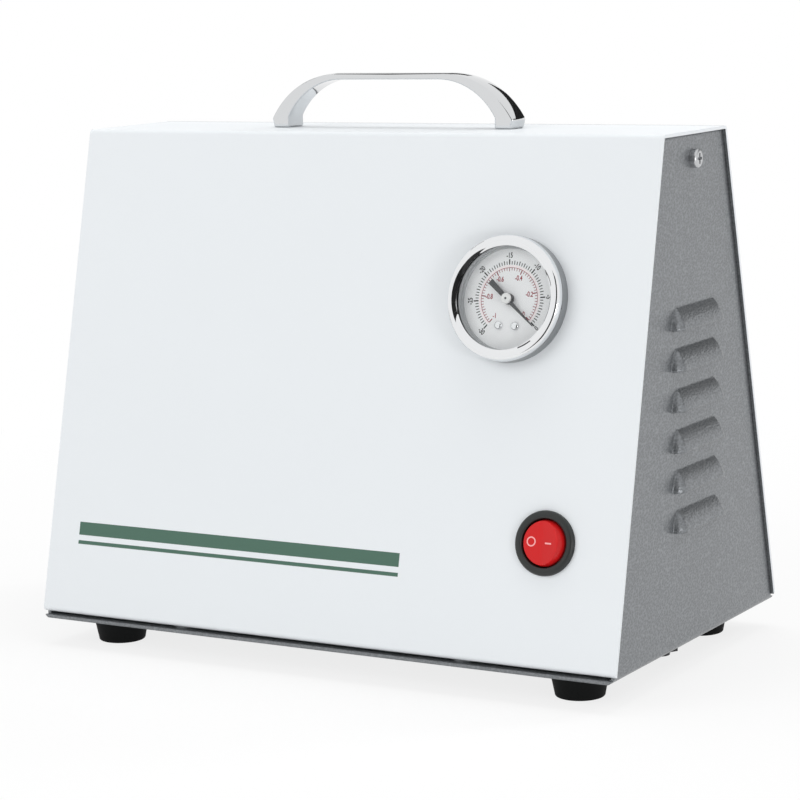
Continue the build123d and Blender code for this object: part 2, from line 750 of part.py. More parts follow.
def make_gauge_movement_frame():
    reach = gear_centre_distance() + 2.2
    outline = make_face(Polyline((-reach, -3), (reach * 0.5, -3), (reach * 0.5, 6), (-reach, 6), close=True))
    foot = Pos(0, dial_screw_y / 2) * Rectangle(2 * dial_screw_x + 3.2, -dial_screw_y + 3.2)
    front = extrude(outline + foot, plate_thickness)
    plates = Pos(0, 0, plate_top - plate_thickness) * front
    rear = extrude(outline + foot, plate_thickness)
    plates += Pos(0, 0, plate_bottom) * rear
    for x in (-dial_screw_x, dial_screw_x):
        plates += rod(1.3, plate_bottom, plate_top, x, dial_screw_y)
        plates += rod(0.8 + 0.9, plate_top, dial_level - seat_gap, x, dial_screw_y)
        plates -= rod(0.8, plate_top - plate_thickness, 5, x, dial_screw_y)
    for x in (0, -gear_centre_distance()):
        plates -= rod(arbor_radius + running_play, plate_bottom - 1, plate_top + 1, x)
    return on_gauge() * plates


def make_bourdon_tube():
    thickness, width = bourdon_section
    outer = bourdon_radius + thickness / 2
    inner = bourdon_radius - thickness / 2
    level = plate_bottom + 1.0
    full = tube(outer, inner, level, level + width)
    start, end = -80.0, 150.0
    wedge = [(0, 0)]
    for index in range(9):
        angle = radians(end + (360 + start - end) * index / 8)
        wedge.append((30 * cos(angle), 30 * sin(angle)))
    gap = Pos(0, 0, level - 1) * extrude(make_face(Polyline(*wedge, close=True)), width + 2)
    return on_gauge() * (full - gap)


def make_gauge_socket():
    """Brass block behind the case: neck, bourdon seat, square and hose barb."""
    inside = -gauge_depth + gauge_tube_wall + seat_gap
    body = rod(socket_radius, -gauge_depth - 2.5, plate_bottom)
    reach = bourdon_radius + bourdon_section[0] / 2
    body += block(-2.5, 2.5, -reach, 0, inside, plate_bottom)
    seat_inner = bourdon_radius - bourdon_section[0] / 2
    body += block(-2.5, 2.5, -reach, -seat_inner + 1, inside, plate_bottom + 1.0)
    body += rod(socket_radius - 0.5, socket_end, -gauge_depth - 2.5)
    body += Pos(0, 0, socket_end) * Rot(180, 0, 0) * barb(gauge_barb, 1.5)
    return on_gauge() * body


def make_gauge_clamp():
    inner = gauge_tube_radius + clamp_play
    outer = inner + clamp_strip
    top = clamp_top()
    bottom = top - clamp_strip
    bridge, leg = [width / 2 for width in clamp_widths]
    body = block(-outer, outer, -bridge, bridge, bottom, top)
    for side in (-1, 1):
        x0, x1 = sorted((side * inner, side * outer))
        body += block(x0, x1, -leg, leg, bottom, -cover_sheet - seat_gap)
    body -= rod(socket_radius + 2 * hole_play, bottom - 1, top + 1)
    for y in (-clamp_stud_y(), clamp_stud_y()):
        body -= rod(m3 + hole_play, bottom - 1, top + 1, 0, y)
    return on_gauge() * body


def clamp_top():
    return -gauge_depth - 1.0


# ---------------------------------------------------------------- mains inlet
def on_inlet():
    return on_back(inlet_x, inlet_s)


def make_power_inlet():
    width, height, proud = inlet_flange
    plate = extrude(RectangleRounded(width, height, 4.0), proud - seat_gap)
    body = Pos(0, 0, seat_gap) * plate
    body += Pos(0, 0, (seat_gap - inlet_body[2]) / 2) * Box(inlet_body[0], inlet_body[1], inlet_body[2] + seat_gap)
    cavity_w, cavity_h, cavity_d = socket_cavity
    cut = 4.0
    face = Rectangle(cavity_w, cavity_h)
    face = chamfer(face.vertices().group_by(Axis.Y)[-1], cut)
    body -= Pos(0, socket_up, proud - cavity_d) * extrude(face, cavity_d + 1)
    drawer_w, drawer_h, drawer_d = drawer_size
    slot = Box(drawer_w + 2 * drawer_play, drawer_h + 2 * drawer_play, drawer_d + drawer_play)
    body -= Pos(0, -drawer_down, proud - (drawer_d + drawer_play) / 2 + 0.01) * slot
    for x, y, _ in pin_places():
        body -= Pos(x, y, -inlet_body[2] / 2) * Box(pin_size[0], pin_size[1], inlet_body[2] + 2)
    for x in (-inlet_screw_x, inlet_screw_x):
        body -= rod(m3 + hole_play, -1, proud + 1, x)
        body -= Pos(x, 0, proud - 0.75) * Cone(m3 + hole_play, m3 + hole_play + 1.6, 1.6)
    return on_inlet() * body


def pin_places():
    """Line, neutral and earth blades in the socket: x, y and how near they come to its mouth."""
    return [(-pin_spread, socket_up - 2, 0.5), (pin_spread, socket_up - 2, 0.5), (0, socket_up + 2, 0.0)]


def make_inlet_pins():
    width, thickness, length = blade
    pins = []
    for x, y, depth in pin_places():
        pin = block(-pin_size[0] / 2, pin_size[0] / 2, -pin_size[1] / 2, pin_size[1] / 2, -inlet_body[2], -depth)
        tab = Pos(0, 0, -inlet_body[2] - length / 2) * Box(thickness, width, length)
        pins.append(Pos(x, y, 0) * (pin + tab))
    return on_inlet() * group(*pins)


def make_fuse_drawer():
    width, height, depth = drawer_size
    top = inlet_flange[2] + drawer_lip
    body = Pos(0, 0, top - (depth + drawer_lip) / 2) * Box(width, height, depth + drawer_lip)
    lip = Pos(0, 0, inlet_flange[2] + 0.1 + drawer_lip / 2) * Box(width + 2.4, height + 1.0, drawer_lip - 0.2)
    body += lip
    body = fillet(body.faces().sort_by(Axis.Z)[-1].edges(), 0.5)
    body -= Pos(0, 0, top) * Box(8, 1.6, 1.0)
    bay = Pos(0, 0, fuse_level()) * Box(fuse_length + 0.4, 2 * fuse_radius + 0.2, 2 * fuse_radius + 0.2)
    bay += Pos(0, 4, fuse_level()) * Box(fuse_length + 0.4, 8, 2 * fuse_radius + 0.2)
    return on_inlet() * Pos(0, -drawer_down, 0) * (body - bay)


def fuse_level():
    return inlet_flange[2] - drawer_size[2] * 0.55


def make_fuse():
    body = Rot(0, 90, 0) * Cylinder(fuse_radius - 0.2, fuse_length)
    for side in (-1, 1):
        body += Pos(side * (fuse_length / 2 - 2.5), 0, 0) * Rot(0, 90, 0) * Cylinder(fuse_radius, 5)
    return on_inlet() * Pos(0, -drawer_down, fuse_level()) * body


def make_inlet_screws():
    proud = inlet_flange[2]
    screws = []
    for x in (-inlet_screw_x, inlet_screw_x):
        head = Pos(0, 0, proud - 0.75) * Cone(m3, m3 + 1.55, 1.5)
        shank = rod(m3, -cover_sheet - m3_nut[1] - 2, proud - 0.8)
        cut = Pos(0, 0, proud) * (Box(3.2, 0.8, 1.2) + Box(0.8, 3.2, 1.2))
        screws.append(Pos(x, 0, 0) * (head + shank - cut))
    return on_inlet() * group(*screws)


# ---------------------------------------------------------------- air connections
def nozzle_heights():
    s, _ = back_panel_place(port_y, port_z)
    return s, s + nozzle_spacing


def nozzle(inner_end):
    """Bulkhead nozzle: barb and hexagon outside the panel, thread inside it."""
    flats, height = nozzle_hex
    hexagon = extrude(RegularPolygon(flats / 2, 6, major_radius=False), height)
    body = Pos(0, 0, seat_gap) * hexagon
    body += rod(nozzle_thread, -thread_length(), seat_gap)
    body += Pos(0, 0, height) * nozzle_stem()
    body += inner_end
    return body - rod(1.8, -60, 60)


def nozzle_stem():
    """Outer hose stem: a plain land, then saw-tooth barbs no larger than the land."""
    root = nozzle_radius - 0.6
    step = (nozzle_barb - nozzle_land - 1.0) / 3
    points = [(0, 0), (nozzle_radius, 0), (nozzle_radius, nozzle_land), (root, nozzle_land)]
    for index in range(3):
        foot = nozzle_land + 1.0 + index * step
        points += [(root, foot), (nozzle_radius, foot), (root, foot + step - 0.4)]
    points += [(root, nozzle_barb), (0, nozzle_barb)]
    return turned(points)


def thread_length():
    return cover_sheet + nozzle_hex[1] + 1.5


def tee_depth():
    _, out = back_panel_place(port_y, port_z)
    return out


def make_vacuum_nozzle():
    stub = rod(stub_radius, -thread_length() - stub_length, -thread_length())
    return on_back(nozzle_x, nozzle_heights()[0]) * nozzle(stub)


def make_exhaust_nozzle():
    inner = Pos(0, 0, -thread_length()) * Rot(180, 0, 0) * barb(12.0, 1.8)
    return on_back(nozzle_x, nozzle_heights()[1]) * nozzle(inner)


def make_hose_fittings():
    """Tee on the vacuum nozzle, and the two barbs screwed into the head."""
    depth = tee_depth()
    run = Rot(0, 90, 0) * Cylinder(tee_radius, 2 * tee_half)
    run += Pos(tee_half, 0, 0) * Rot(0, 90, 0) * barb(port_barb, 1.8)
    run += Pos(-tee_half, 0, 0) * Rot(0, -90, 0) * barb(port_barb, 1.8)
    run -= Rot(0, 90, 0) * Cylinder(1.8, 100)
    neck_top = -thread_length() - 0.5
    tee = Pos(0, 0, depth) * run + rod(stub_radius + 2, depth, neck_top)
    tee -= rod(stub_radius, -thread_length() - stub_length - seat_gap, 0)
    tee -= rod(1.8, depth, 0)
    fittings = [on_back(nozzle_x, nozzle_heights()[0]) * tee]
    for y in (-port_y, port_y):
        body = rod_x(5.5, port_face(), port_face() + 3)
        body += rod_x(port_thread, port_face() - 7, port_face())
        body += Pos(port_face() + 3, 0, 0) * Rot(0, 90, 0) * barb(port_barb, 1.8)
        body -= rod_x(1.8, port_face() - 10, port_face() + 40)
        fittings.append(Pos(0, y, port_z) * body)
    return group(*fittings)


def port_face():
    return head_x + head_half + seat_gap


def front_point(x, s, out):
    return (FRONT.location * Pos(x, s, out)).position


def back_point(x, s, out):
    return (BACK.location * Pos(-x, s, out)).position


def make_hoses():
    outer = hose_barb + hose_wall
    start = Vector(port_face() + 3.3, port_y, port_z)
    end = Vector(nozzle_x - tee_half - 0.3, port_y, port_z)
    vacuum = routed_tube("vacuum hose", [start, end], outer, hose_barb)

    tee_end = Vector(nozzle_x + tee_half + 0.3, port_y, port_z)
    stem = front_point(gauge_x, gauge_s, socket_end - 0.3)
    before_stem = front_point(gauge_x, gauge_s, socket_end - 0.3 - gauge_barb - 6.5)
    run = (port_y - before_stem.Y) / (cos(radians(60)) + cos(radians(30)))
    bend_x = before_stem.X - (cos(radians(60)) + cos(radians(30))) * run
    gauge_points = [
        tee_end,
        Vector(bend_x, port_y + 0.2, port_z - 1.5),
        Vector(bend_x + cos(radians(30)) * run, port_y - cos(radians(60)) * run, (port_z + before_stem.Z) / 2 - 1.0),
        before_stem,
        stem,
    ]
    gauge = routed_tube("gauge hose", gauge_points, outer, hose_barb)

    out_s = nozzle_heights()[1]
    nozzle_end = back_point(nozzle_x, out_s, -thread_length() - 0.3)
    before_nozzle = back_point(nozzle_x, out_s, -thread_length() - 20.3)
    low = Vector(port_face() + 3.3, -port_y, port_z)
    exhaust_points = [
        low,
        low + Vector(23, 0.4, 0.3),
        low + Vector(38, 1.5, 7.5),
        low + Vector(50, 5.5, 17),
        before_nozzle + Vector(-2.5, -13.5, -6.5),
        before_nozzle,
        nozzle_end,
    ]
    exhaust = routed_tube("exhaust hose", exhaust_points, outer, hose_barb)
    return group(vacuum, gauge, exhaust)


# ---------------------------------------------------------------- mounting
def make_vibration_mounts():
    pad = rod(mount_radius, floor_z + seat_gap, floor_z + mount_height - seat_gap)
    pad -= rod(m4, floor_z + mount_height - mount_thread, floor_z + mount_height + 1)
    pad -= rod(m4, floor_z - 1, floor_z + mount_thread)
    waist = pad.edges().filter_by(GeomType.CIRCLE).group_by(SortBy.RADIUS)[-1]
    pad = fillet(waist, 0.8)
    return group(*[Pos(x, y, 0) * pad for x, y in mount_places()])


def make_mount_studs():
    low = rod(m4, base_z - m4_nut[1] - thread_end, floor_z + mount_thread)
    high = rod(m4, floor_z + mount_height - mount_thread, plate_z + m4_nut[1] + thread_end)
    return group(*[Pos(x, y, 0) * item for x, y in mount_places() for item in (low, high)])


def make_mounting_plate():
    x0, x1 = plate_x
    body = block(x0, x1, -plate_y, plate_y, plate_z - plate_sheet, plate_z)
    body = fillet(body.edges().filter_by(Axis.Z), plate_corner)
    for x, y in mount_places():
        body -= rod(m4 + hole_play, plate_z - through, plate_z + through, x, y)
    for x, y in unit_screw_places():
        body -= rod(m5 + hole_play, plate_z - through, plate_z + through, x, y)
    window = block(stator_a, stator_b, -plate_window, plate_window, plate_z - through, plate_z + through)
    return body - window


def unit_screw_places():
    rear = (stator_b + bell_end) / 2
    return [(x, y) for x in (head_x, rear) for y in (-unit_screw_y, unit_screw_y)]


def make_unit_screws():
    screw = Rot(180, 0, 0) * pan_screw(m5, m5_head, plate_sheet + unit_screw_bite)
    return group(*[Pos(x, y, plate_z - plate_sheet - seat_gap) * screw for x, y in unit_screw_places()])


def make_fixing_nuts():
    nuts = []
    for x, y in mount_places():
        nuts.append(nut(m4_nut, m4, base_z - m4_nut[1] - seat_gap, x, y))
        nuts.append(nut(m4_nut, m4, plate_z + seat_gap, x, y))
    for x, y in foot_places():
        nuts.append(nut(m4_nut, m4, floor_z + seat_gap, x, y))
    nuts.append(nut(m8_nut, m8, base_z - m8_nut[1] - seat_gap, capacitor_x, 0))
    clamp_back = clamp_top() - clamp_strip - seat_gap
    for y in (-clamp_stud_y(), clamp_stud_y()):
        nuts.append(on_gauge() * nut(m3_nut, m3, clamp_back - m3_nut[1], 0, y))
    panel_back = -cover_sheet - seat_gap
    for x in (-inlet_screw_x, inlet_screw_x):
        nuts.append(on_inlet() * nut(m3_nut, m3, panel_back - m3_nut[1], x, 0))
    for s in nozzle_heights():
        nuts.append(on_back(nozzle_x, s) * nut(nozzle_hex, nozzle_thread, panel_back - nozzle_hex[1]))
    return group(*nuts)


# ---------------------------------------------------------------- motor
def tie_bolt_places():
    return [(y, z) for y in (-tie_bolt_offset, tie_bolt_offset) for z in (-tie_bolt_offset, tie_bolt_offset)]


def square_block(x0, x1, half):
    body = block(x0, x1, -half, half, axis_z - half, axis_z + half)
    return fillet(body.edges().filter_by(Axis.X), casting_corner)


def make_crankcase():
    """Cast housing: crank chamber, diaphragm flange, and the motor's drive-end bell."""
    half = head_half
    x0 = crankcase_front
    outer = block(x0, bearing_seat_a + bearing_width, -half, half, plate_z + seat_gap, rim_bottom)
    top_flange = block(head_x - half, head_x + half, -half, half, rim_bottom - crankcase_flange, rim_bottom)
    top_flange = fillet(top_flange.edges().filter_by(Axis.Z), head_corner)
    body = outer + top_flange
    body += square_block(flange_a, stator_a - seat_gap, stator_half)
    body -= block(x0 + crankcase_wall, crankcase_rear, -crankcase_inner_y, crankcase_inner_y,
                  plate_z + crankcase_floor, rim_bottom - crankcase_flange)
    body -= rod_x(crankcase_inner_y - crankcase_rim, x0 - 1, head_x, 0, axis_z)
    body -= rod(chamber_radius, rim_bottom - crankcase_flange - 0.5, rim_bottom + 1, head_x)
    body -= rod_x(stator_half - cup_wall, cup_a, stator_a + 1, 0, axis_z)
    body -= rod_x(bearing_radius, bearing_seat_a, cup_a + 1, 0, axis_z)
    body -= rod_x(inner_ring + bearing_relief, crankcase_rear - 1, cup_a + 1, 0, axis_z)
    for z0, z1 in ((plate_z + vent_foot, axis_z - vent_rise), (axis_z + vent_rise, axis_z + stator_half + 1)):
        body -= block(cup_a + 2, stator_a - 3, -vent_width / 2, vent_width / 2, z0, z1)
    for y, z in tie_bolt_places():
        body -= rod_x(m4, flange_a + 1, stator_a + 1, y, axis_z + z)
    for x, y in head_screw_places():
        body -= rod(m5, rim_bottom - 12, rim_bottom + 1, x, y)
    for y in (-unit_screw_y, unit_screw_y):
        body -= rod(m5, plate_z - 1, plate_z + unit_screw_hole, head_x, y)
    return body


def make_fan_end_bell():
    body = square_block(stator_b + seat_gap, bell_end, stator_half)
    body += block(stator_b + seat_gap, bell_end, -head_half, head_half, plate_z + seat_gap, axis_z)
    body -= rod_x(stator_half - cup_wall, stator_b - 1, bell_inner, 0, axis_z)
    body -= rod_x(bearing_radius, stator_b, bearing_seat_b + bearing_width, 0, axis_z)
    body -= rod_x(inner_ring + bearing_relief, stator_b, bell_end + 1, 0, axis_z)
    for index in range(6):
        angle = 60 * index + 30
        window = Pos(0, 27, 0) * Box(bell_end, 9, 14)
        body -= Pos((bell_inner + bell_end) / 2 + 1, 0, axis_z) * Rot(angle, 0, 0) * (
            window & Box(2 * (bell_end - bell_inner) + 8, 200, 200))
    for y, z in tie_bolt_places():
        body -= rod_x(m4 + hole_play, stator_b - 1, bell_end + 1, y, axis_z + z)
    rear = unit_screw_places()[-1][0]
    for y in (-unit_screw_y, unit_screw_y):
        body -= rod(m5, plate_z - 1, plate_z + unit_screw_hole, rear, y)
    return body


def make_stator_core():
    body = square_block(stator_a, stator_b, stator_half)
    body -= rod_x(stator_bore, stator_a - 1, stator_b + 1, 0, axis_z)
    slot = block(stator_a - 1, stator_b + 1, -slot_width / 2, slot_width / 2, slot_inner, slot_outer)
    mouth = block(stator_a - 1, stator_b + 1, -1.0, 1.0, stator_bore - 1, slot_inner + 1)
    for index in range(slot_count):
        body -= Pos(0, 0, axis_z) * Rot(360 * index / slot_count, 0, 0) * (slot + mouth)
    for y, z in tie_bolt_places():
        body -= rod_x(m4 + hole_play, stator_a - 1, stator_b + 1, y, axis_z + z)
    return body


def make_stator_windings():
    play = 0.3
    bar = block(stator_a - 2, stator_b + 2, play - slot_width / 2, slot_width / 2 - play,
                slot_inner + play, slot_outer - play)
    reach = winding_reach - 2.5
    body = tube_x(slot_outer, slot_inner, stator_a - reach, stator_a - play, 0, axis_z)
    body = fillet(body.edges(), 2.5)
    far = tube_x(slot_outer, slot_inner, stator_b + play, stator_b + reach, 0, axis_z)
    body += fillet(far.edges(), 2.5)
    for index in range(slot_count):
        body += Pos(0, 0, axis_z) * Rot(360 * index / slot_count, 0, 0) * bar
    return body


def make_motor_tie_bolts():
    length = bell_end - flange_a - 3
    bolts = []
    for y, z in tie_bolt_places():
        screw = Rot(0, 90, 0) * pan_screw(m4, m4_head, length)
        bolts.append(Pos(bell_end + seat_gap, y, axis_z + z) * screw)
    return group(*bolts)


def make_rotor_core():
    radius = stator_bore - air_gap
    body = rod_x(radius, stator_a, stator_b, 0, axis_z)
    for x0, x1 in ((stator_a - 6, stator_a), (stator_b, stator_b + 6)):
        body += rod_x(radius - 2.5, x0, x1, 0, axis_z)
    return body - rod_x(shaft_radius, stator_a - 10, stator_b + 10, 0, axis_z)


def make_motor_shaft():
    body = rod_x(shaft_radius, shaft_a, shaft_b, 0, axis_z)
    return chamfer(body.edges(), 0.5)


def make_cooling_fan():
    hub = tube_x(9.0, shaft_radius, fan_a, fan_b, 0, axis_z)
    plate = tube_x(fan_radius - 4, shaft_radius, fan_b - 2, fan_b, 0, axis_z)
    body = hub + plate
    blade_solid = block(fan_a + 1, fan_b - 1, -0.8, 0.8, 8.0, fan_radius)
    for index in range(fan_blades):
        body += Pos(0, 0, axis_z) * Rot(360 * index / fan_blades, 0, 0) * blade_solid
    return body


def make_bearing_outer_rings():
    seal = inner_ring + seal_play
    a = tube_x(bearing_radius, seal, bearing_seat_a, bearing_seat_a + bearing_width, 0, axis_z)
    b = tube_x(bearing_radius, seal, bearing_seat_b, bearing_seat_b + bearing_width, 0, axis_z)
    return group(a, b)


def crank_z():
    return axis_z + crank_throw


def make_bearing_inner_rings():
    a = tube_x(inner_ring, shaft_radius, bearing_seat_a, bearing_seat_a + bearing_width, 0, axis_z)
    b = tube_x(inner_ring, shaft_radius, bearing_seat_b, bearing_seat_b + bearing_width, 0, axis_z)
    c = tube_x(crank_ring, crank_radius, head_x - rod_width / 2, head_x + rod_width / 2, 0, crank_z())
    return group(a, b, c)


def make_crank_bearing():
    return tube_x(crank_bearing_radius, crank_ring + seal_play, head_x - rod_width / 2,
                  head_x + rod_width / 2, 0, crank_z())


def make_crank_eccentric():
    """Eccentric hub with its counterweight, pressed on the shaft."""
    side = head_x + rod_width / 2
    body = rod_x(crank_radius, head_x - rod_width / 2 - 0.5, side + 1, 0, crank_z())
    weight = rod_x(counterweight_radius, side + 1, side + 1 + counterweight_width, 0, axis_z)
    over = block(side, side + 2 + counterweight_width, -counterweight_radius, counterweight_radius,
                 axis_z + counterweight_top, axis_z + counterweight_radius + 1)
    body += weight - over
    body += rod_x(crank_radius + 1, side + 1, side + 1 + counterweight_width, 0, axis_z)
    return body - rod_x(shaft_radius, shaft_a - 1, shaft_b + 1, 0, axis_z)


def make_connecting_rod():
    x0 = head_x - rod_width / 2
    x1 = head_x + rod_width / 2
    top = diaphragm_z + crank_throw - diaphragm_thickness / 2 - seat_gap
    eye = rod_x(rod_eye, x0, x1, 0, crank_z())
    under = top - rod_seat[1] + 1
    shank = block(x0, x1, -rod_shank / 2, rod_shank / 2, crank_z(), under)
    web = block(head_x - rod_web[0] / 2, head_x + rod_web[0] / 2, -rod_web[1] / 2, rod_web[1] / 2, crank_z(), under)
    seat = rod(rod_seat[0], top - rod_seat[1], top, head_x)
    body = eye + shank + web + seat
    body -= rod_x(crank_bearing_radius, x0 - 1, x1 + 1, 0, crank_z())
    return body - rod(m5, top - clamp_bite - 2, top + 1, head_x)


# ---------------------------------------------------------------- diaphragm and head
def head_screw_places():
    return [(head_x + x, y) for x in (-head_screw_offset, head_screw_offset)
            for y in (-head_screw_offset, head_screw_offset)]


def make_diaphragm():
    """Rubber disc clamped at its rim, with its middle lifted to the top of the stroke."""
    t = diaphragm_thickness / 2
    lift = crank_throw
    body = turned([
        (m5 + 0.1, lift - t), (clamp_radius, lift - t), (chamber_radius - 1, -t), (diaphragm_radius, -t),
        (diaphragm_radius, t), (chamber_radius - 1, t), (clamp_radius, lift + t), (m5 + 0.1, lift + t),
    ])
    return Pos(head_x, 0, diaphragm_z) * body


def clamp_z():
    return diaphragm_z + crank_throw + diaphragm_thickness / 2 + seat_gap


def make_clamp_disc():
    disc = rod(clamp_radius - 1, 0, clamp_thickness - seat_gap)
    disc = fillet(disc.edges().sort_by(Axis.Z)[-1], 1.0)
    disc -= rod(m5, -1, 10)
    disc -= Pos(0, 0, clamp_thickness - 1.1) * Cone(m5, m5 + 2.2, 2.2)
    return Pos(head_x, 0, clamp_z()) * disc


def make_clamp_screw():
    top = clamp_thickness - 0.2
    head = Pos(0, 0, top - 1.0) * Cone(m5, m5 + 2.0, 2.0)
    body = head + rod(m5, -diaphragm_thickness - clamp_bite, top - 1.5)
    return Pos(head_x, 0, clamp_z()) * (body - Pos(0, 0, top) * hex_socket(1.5, 2.4))


def hex_socket(half_flats, depth):
    return Pos(0, 0, -depth / 2) * extrude(RegularPolygon(half_flats, 6, major_radius=False), depth)


def make_valve_plate():
    body = block(head_x - head_half, head_x + head_half, -head_half, head_half, rim_top + seat_gap, valve_top)
    body = fillet(body.edges().filter_by(Axis.Z), head_corner)
    body -= rod(chamber_radius, rim_top - 1, rim_top + chamber_height, head_x)
    for x, y in head_screw_places():
        body -= rod(m5 + hole_play, 0, valve_top + 1, x, y)
    for y in (-valve_y(), valve_y()):
        body -= rod(2.5, 0, valve_top + 1, head_x, y)
    return body


def valve_y():
    return port_y * 0.5


def make_valve_sheet():
    """One rubber sheet between the plates: the head's gasket, with a flap cut over each valve hole."""
    body = block(head_x - head_half, head_x + head_half, -head_half, head_half,
                 valve_top + seat_gap, sheet_top - seat_gap)
    body = fillet(body.edges().filter_by(Axis.Z), head_corner)
    for x, y in head_screw_places():
        body -= rod(m5 + hole_play, 0, sheet_top + 1, x, y)
    for y in (-valve_y(), valve_y()):
        cut = tube(6.0, 5.0, 0, sheet_top + 1, head_x, y)
        cut -= block(head_x - 20, head_x - 3, y - 2.5, y + 2.5, 0, sheet_top + 2)
        body -= cut
    return body


def make_head_cover():
    body = block(head_x - head_half, head_x + head_half, -head_half, head_half, sheet_top, head_top)
    body = fillet(body.edges().filter_by(Axis.Z), head_corner)
    body = fillet(body.faces().sort_by(Axis.Z)[-1].edges(), 1.5)
    for index in range(5):
        x = head_x - 16 + 8 * index
        body -= block(x - 1.5, x + 1.5, -head_half - 1, head_half + 1, head_top - 4, head_top + 1)
    for side in (-1, 1):
        y0, y1 = sorted((side * 2.0, side * 18.0))
        body -= block(head_x - 15, head_x + 15, y0, y1, sheet_top - 1, sheet_top + 9)
        passage = rod_x(2.0, head_x, head_x + head_half + 1, side * port_y, port_z)
        link = block(head_x, head_x + 6, *sorted((side * 10.0, side * (port_y + 1))), sheet_top + 5, port_z + 1)
        body -= passage + link
        body -= rod_x(port_thread, port_face() - 7 - seat_gap, port_face() + 1, side * port_y, port_z)
    for x, y in head_screw_places():
        body -= rod(m5 + hole_play, 0, head_top + 1, x, y)
        body -= rod(m5_head[0] + 0.4, head_top - 4, head_top + 1, x, y)
    return body


def make_head_screws():
    top = head_top - 4 + seat_gap
    length = top - rim_bottom + 10
    return group(*[Pos(x, y, top) * pan_screw(m5, m5_head, length) for x, y in head_screw_places()])


# ---------------------------------------------------------------- electrics
def make_capacitor():
    bottom = floor_z + seat_gap
    can = rod(capacitor_radius, bottom, bottom + capacitor_height)
    can = fillet(can.edges(), 1.5)
    can += rod(m8, base_z - m8_nut[1] - 2, bottom + 1)
    for x in (-4.0, 4.0):
        can += Pos(x, 0, bottom + capacitor_height + blade[2] / 2) * Box(blade[1], blade[0], blade[2])
    return Pos(capacitor_x, 0, 0) * can


def make_wiring():
    radius = wire / 2
    plug = 0.4
    terminal = -switch_depth - blade[2] - plug
    left = front_point(switch_x - 4, switch_s, terminal)
    right = front_point(switch_x + 4, switch_s, terminal)
    tab = -inlet_body[2] - blade[2] - plug
    near = back_point(inlet_x - pin_spread, inlet_s + socket_up - 2, tab)
    far = back_point(inlet_x + pin_spread, inlet_s + socket_up - 2, tab)
    earth = back_point(inlet_x, inlet_s + socket_up + 2, tab)
    low = axis_z - tie_bolt_offset
    high = axis_z + tie_bolt_offset
    end_x = bell_end + plug
    cap_top = floor_z + seat_gap + capacitor_height + blade[2] + plug
    routes = {
        "switched line": [near, near + Vector(1, -16, -3), near + Vector(5, -33, -2),
                          left + Vector(0, 16, -3), left],
        "switch to motor": [right, right + Vector(-1, 13, -4), right + Vector(-13, 22, -10),
                            Vector(bell_end + 22, -17, low - 1), Vector(end_x + 12, -22, low), Vector(end_x, -23, low)],
        "neutral": [far, far + Vector(-1, -12, -7), far + Vector(-12, -17, -15),
                    Vector(bell_end + 22, 19, low - 6), Vector(end_x + 12, 22, low - 1), Vector(end_x, 23, low)],
        "earth": [earth, earth + Vector(0, -11, -2.6), earth + Vector(3, -18, -13),
                  Vector(earth.X + 5, earth.Y - 17, floor_z + 12), Vector(earth.X + 5, earth.Y - 16, floor_z + plug)],
        "capacitor lead one": [
            Vector(capacitor_x - 4, 0, cap_top), Vector(capacitor_x - 5, -1, cap_top + 12),
            Vector(capacitor_x - 14, -6, cap_top + 21), Vector(capacitor_x - 30, -13, high + 3),
            Vector(bell_end + 20, -20, high), Vector(end_x, -23, high)],
        "capacitor lead two": [
            Vector(capacitor_x + 4, 0, cap_top), Vector(capacitor_x + 3, 1, cap_top + 13),
            Vector(capacitor_x - 7, 4, cap_top + 23), Vector(capacitor_x - 24, 10, high + 6),
            Vector(bell_end + 22, 18, high + 3), Vector(end_x, 23, high)],
    }
    return group(*[routed_tube(name, points, radius) for name, points in routes.items()])


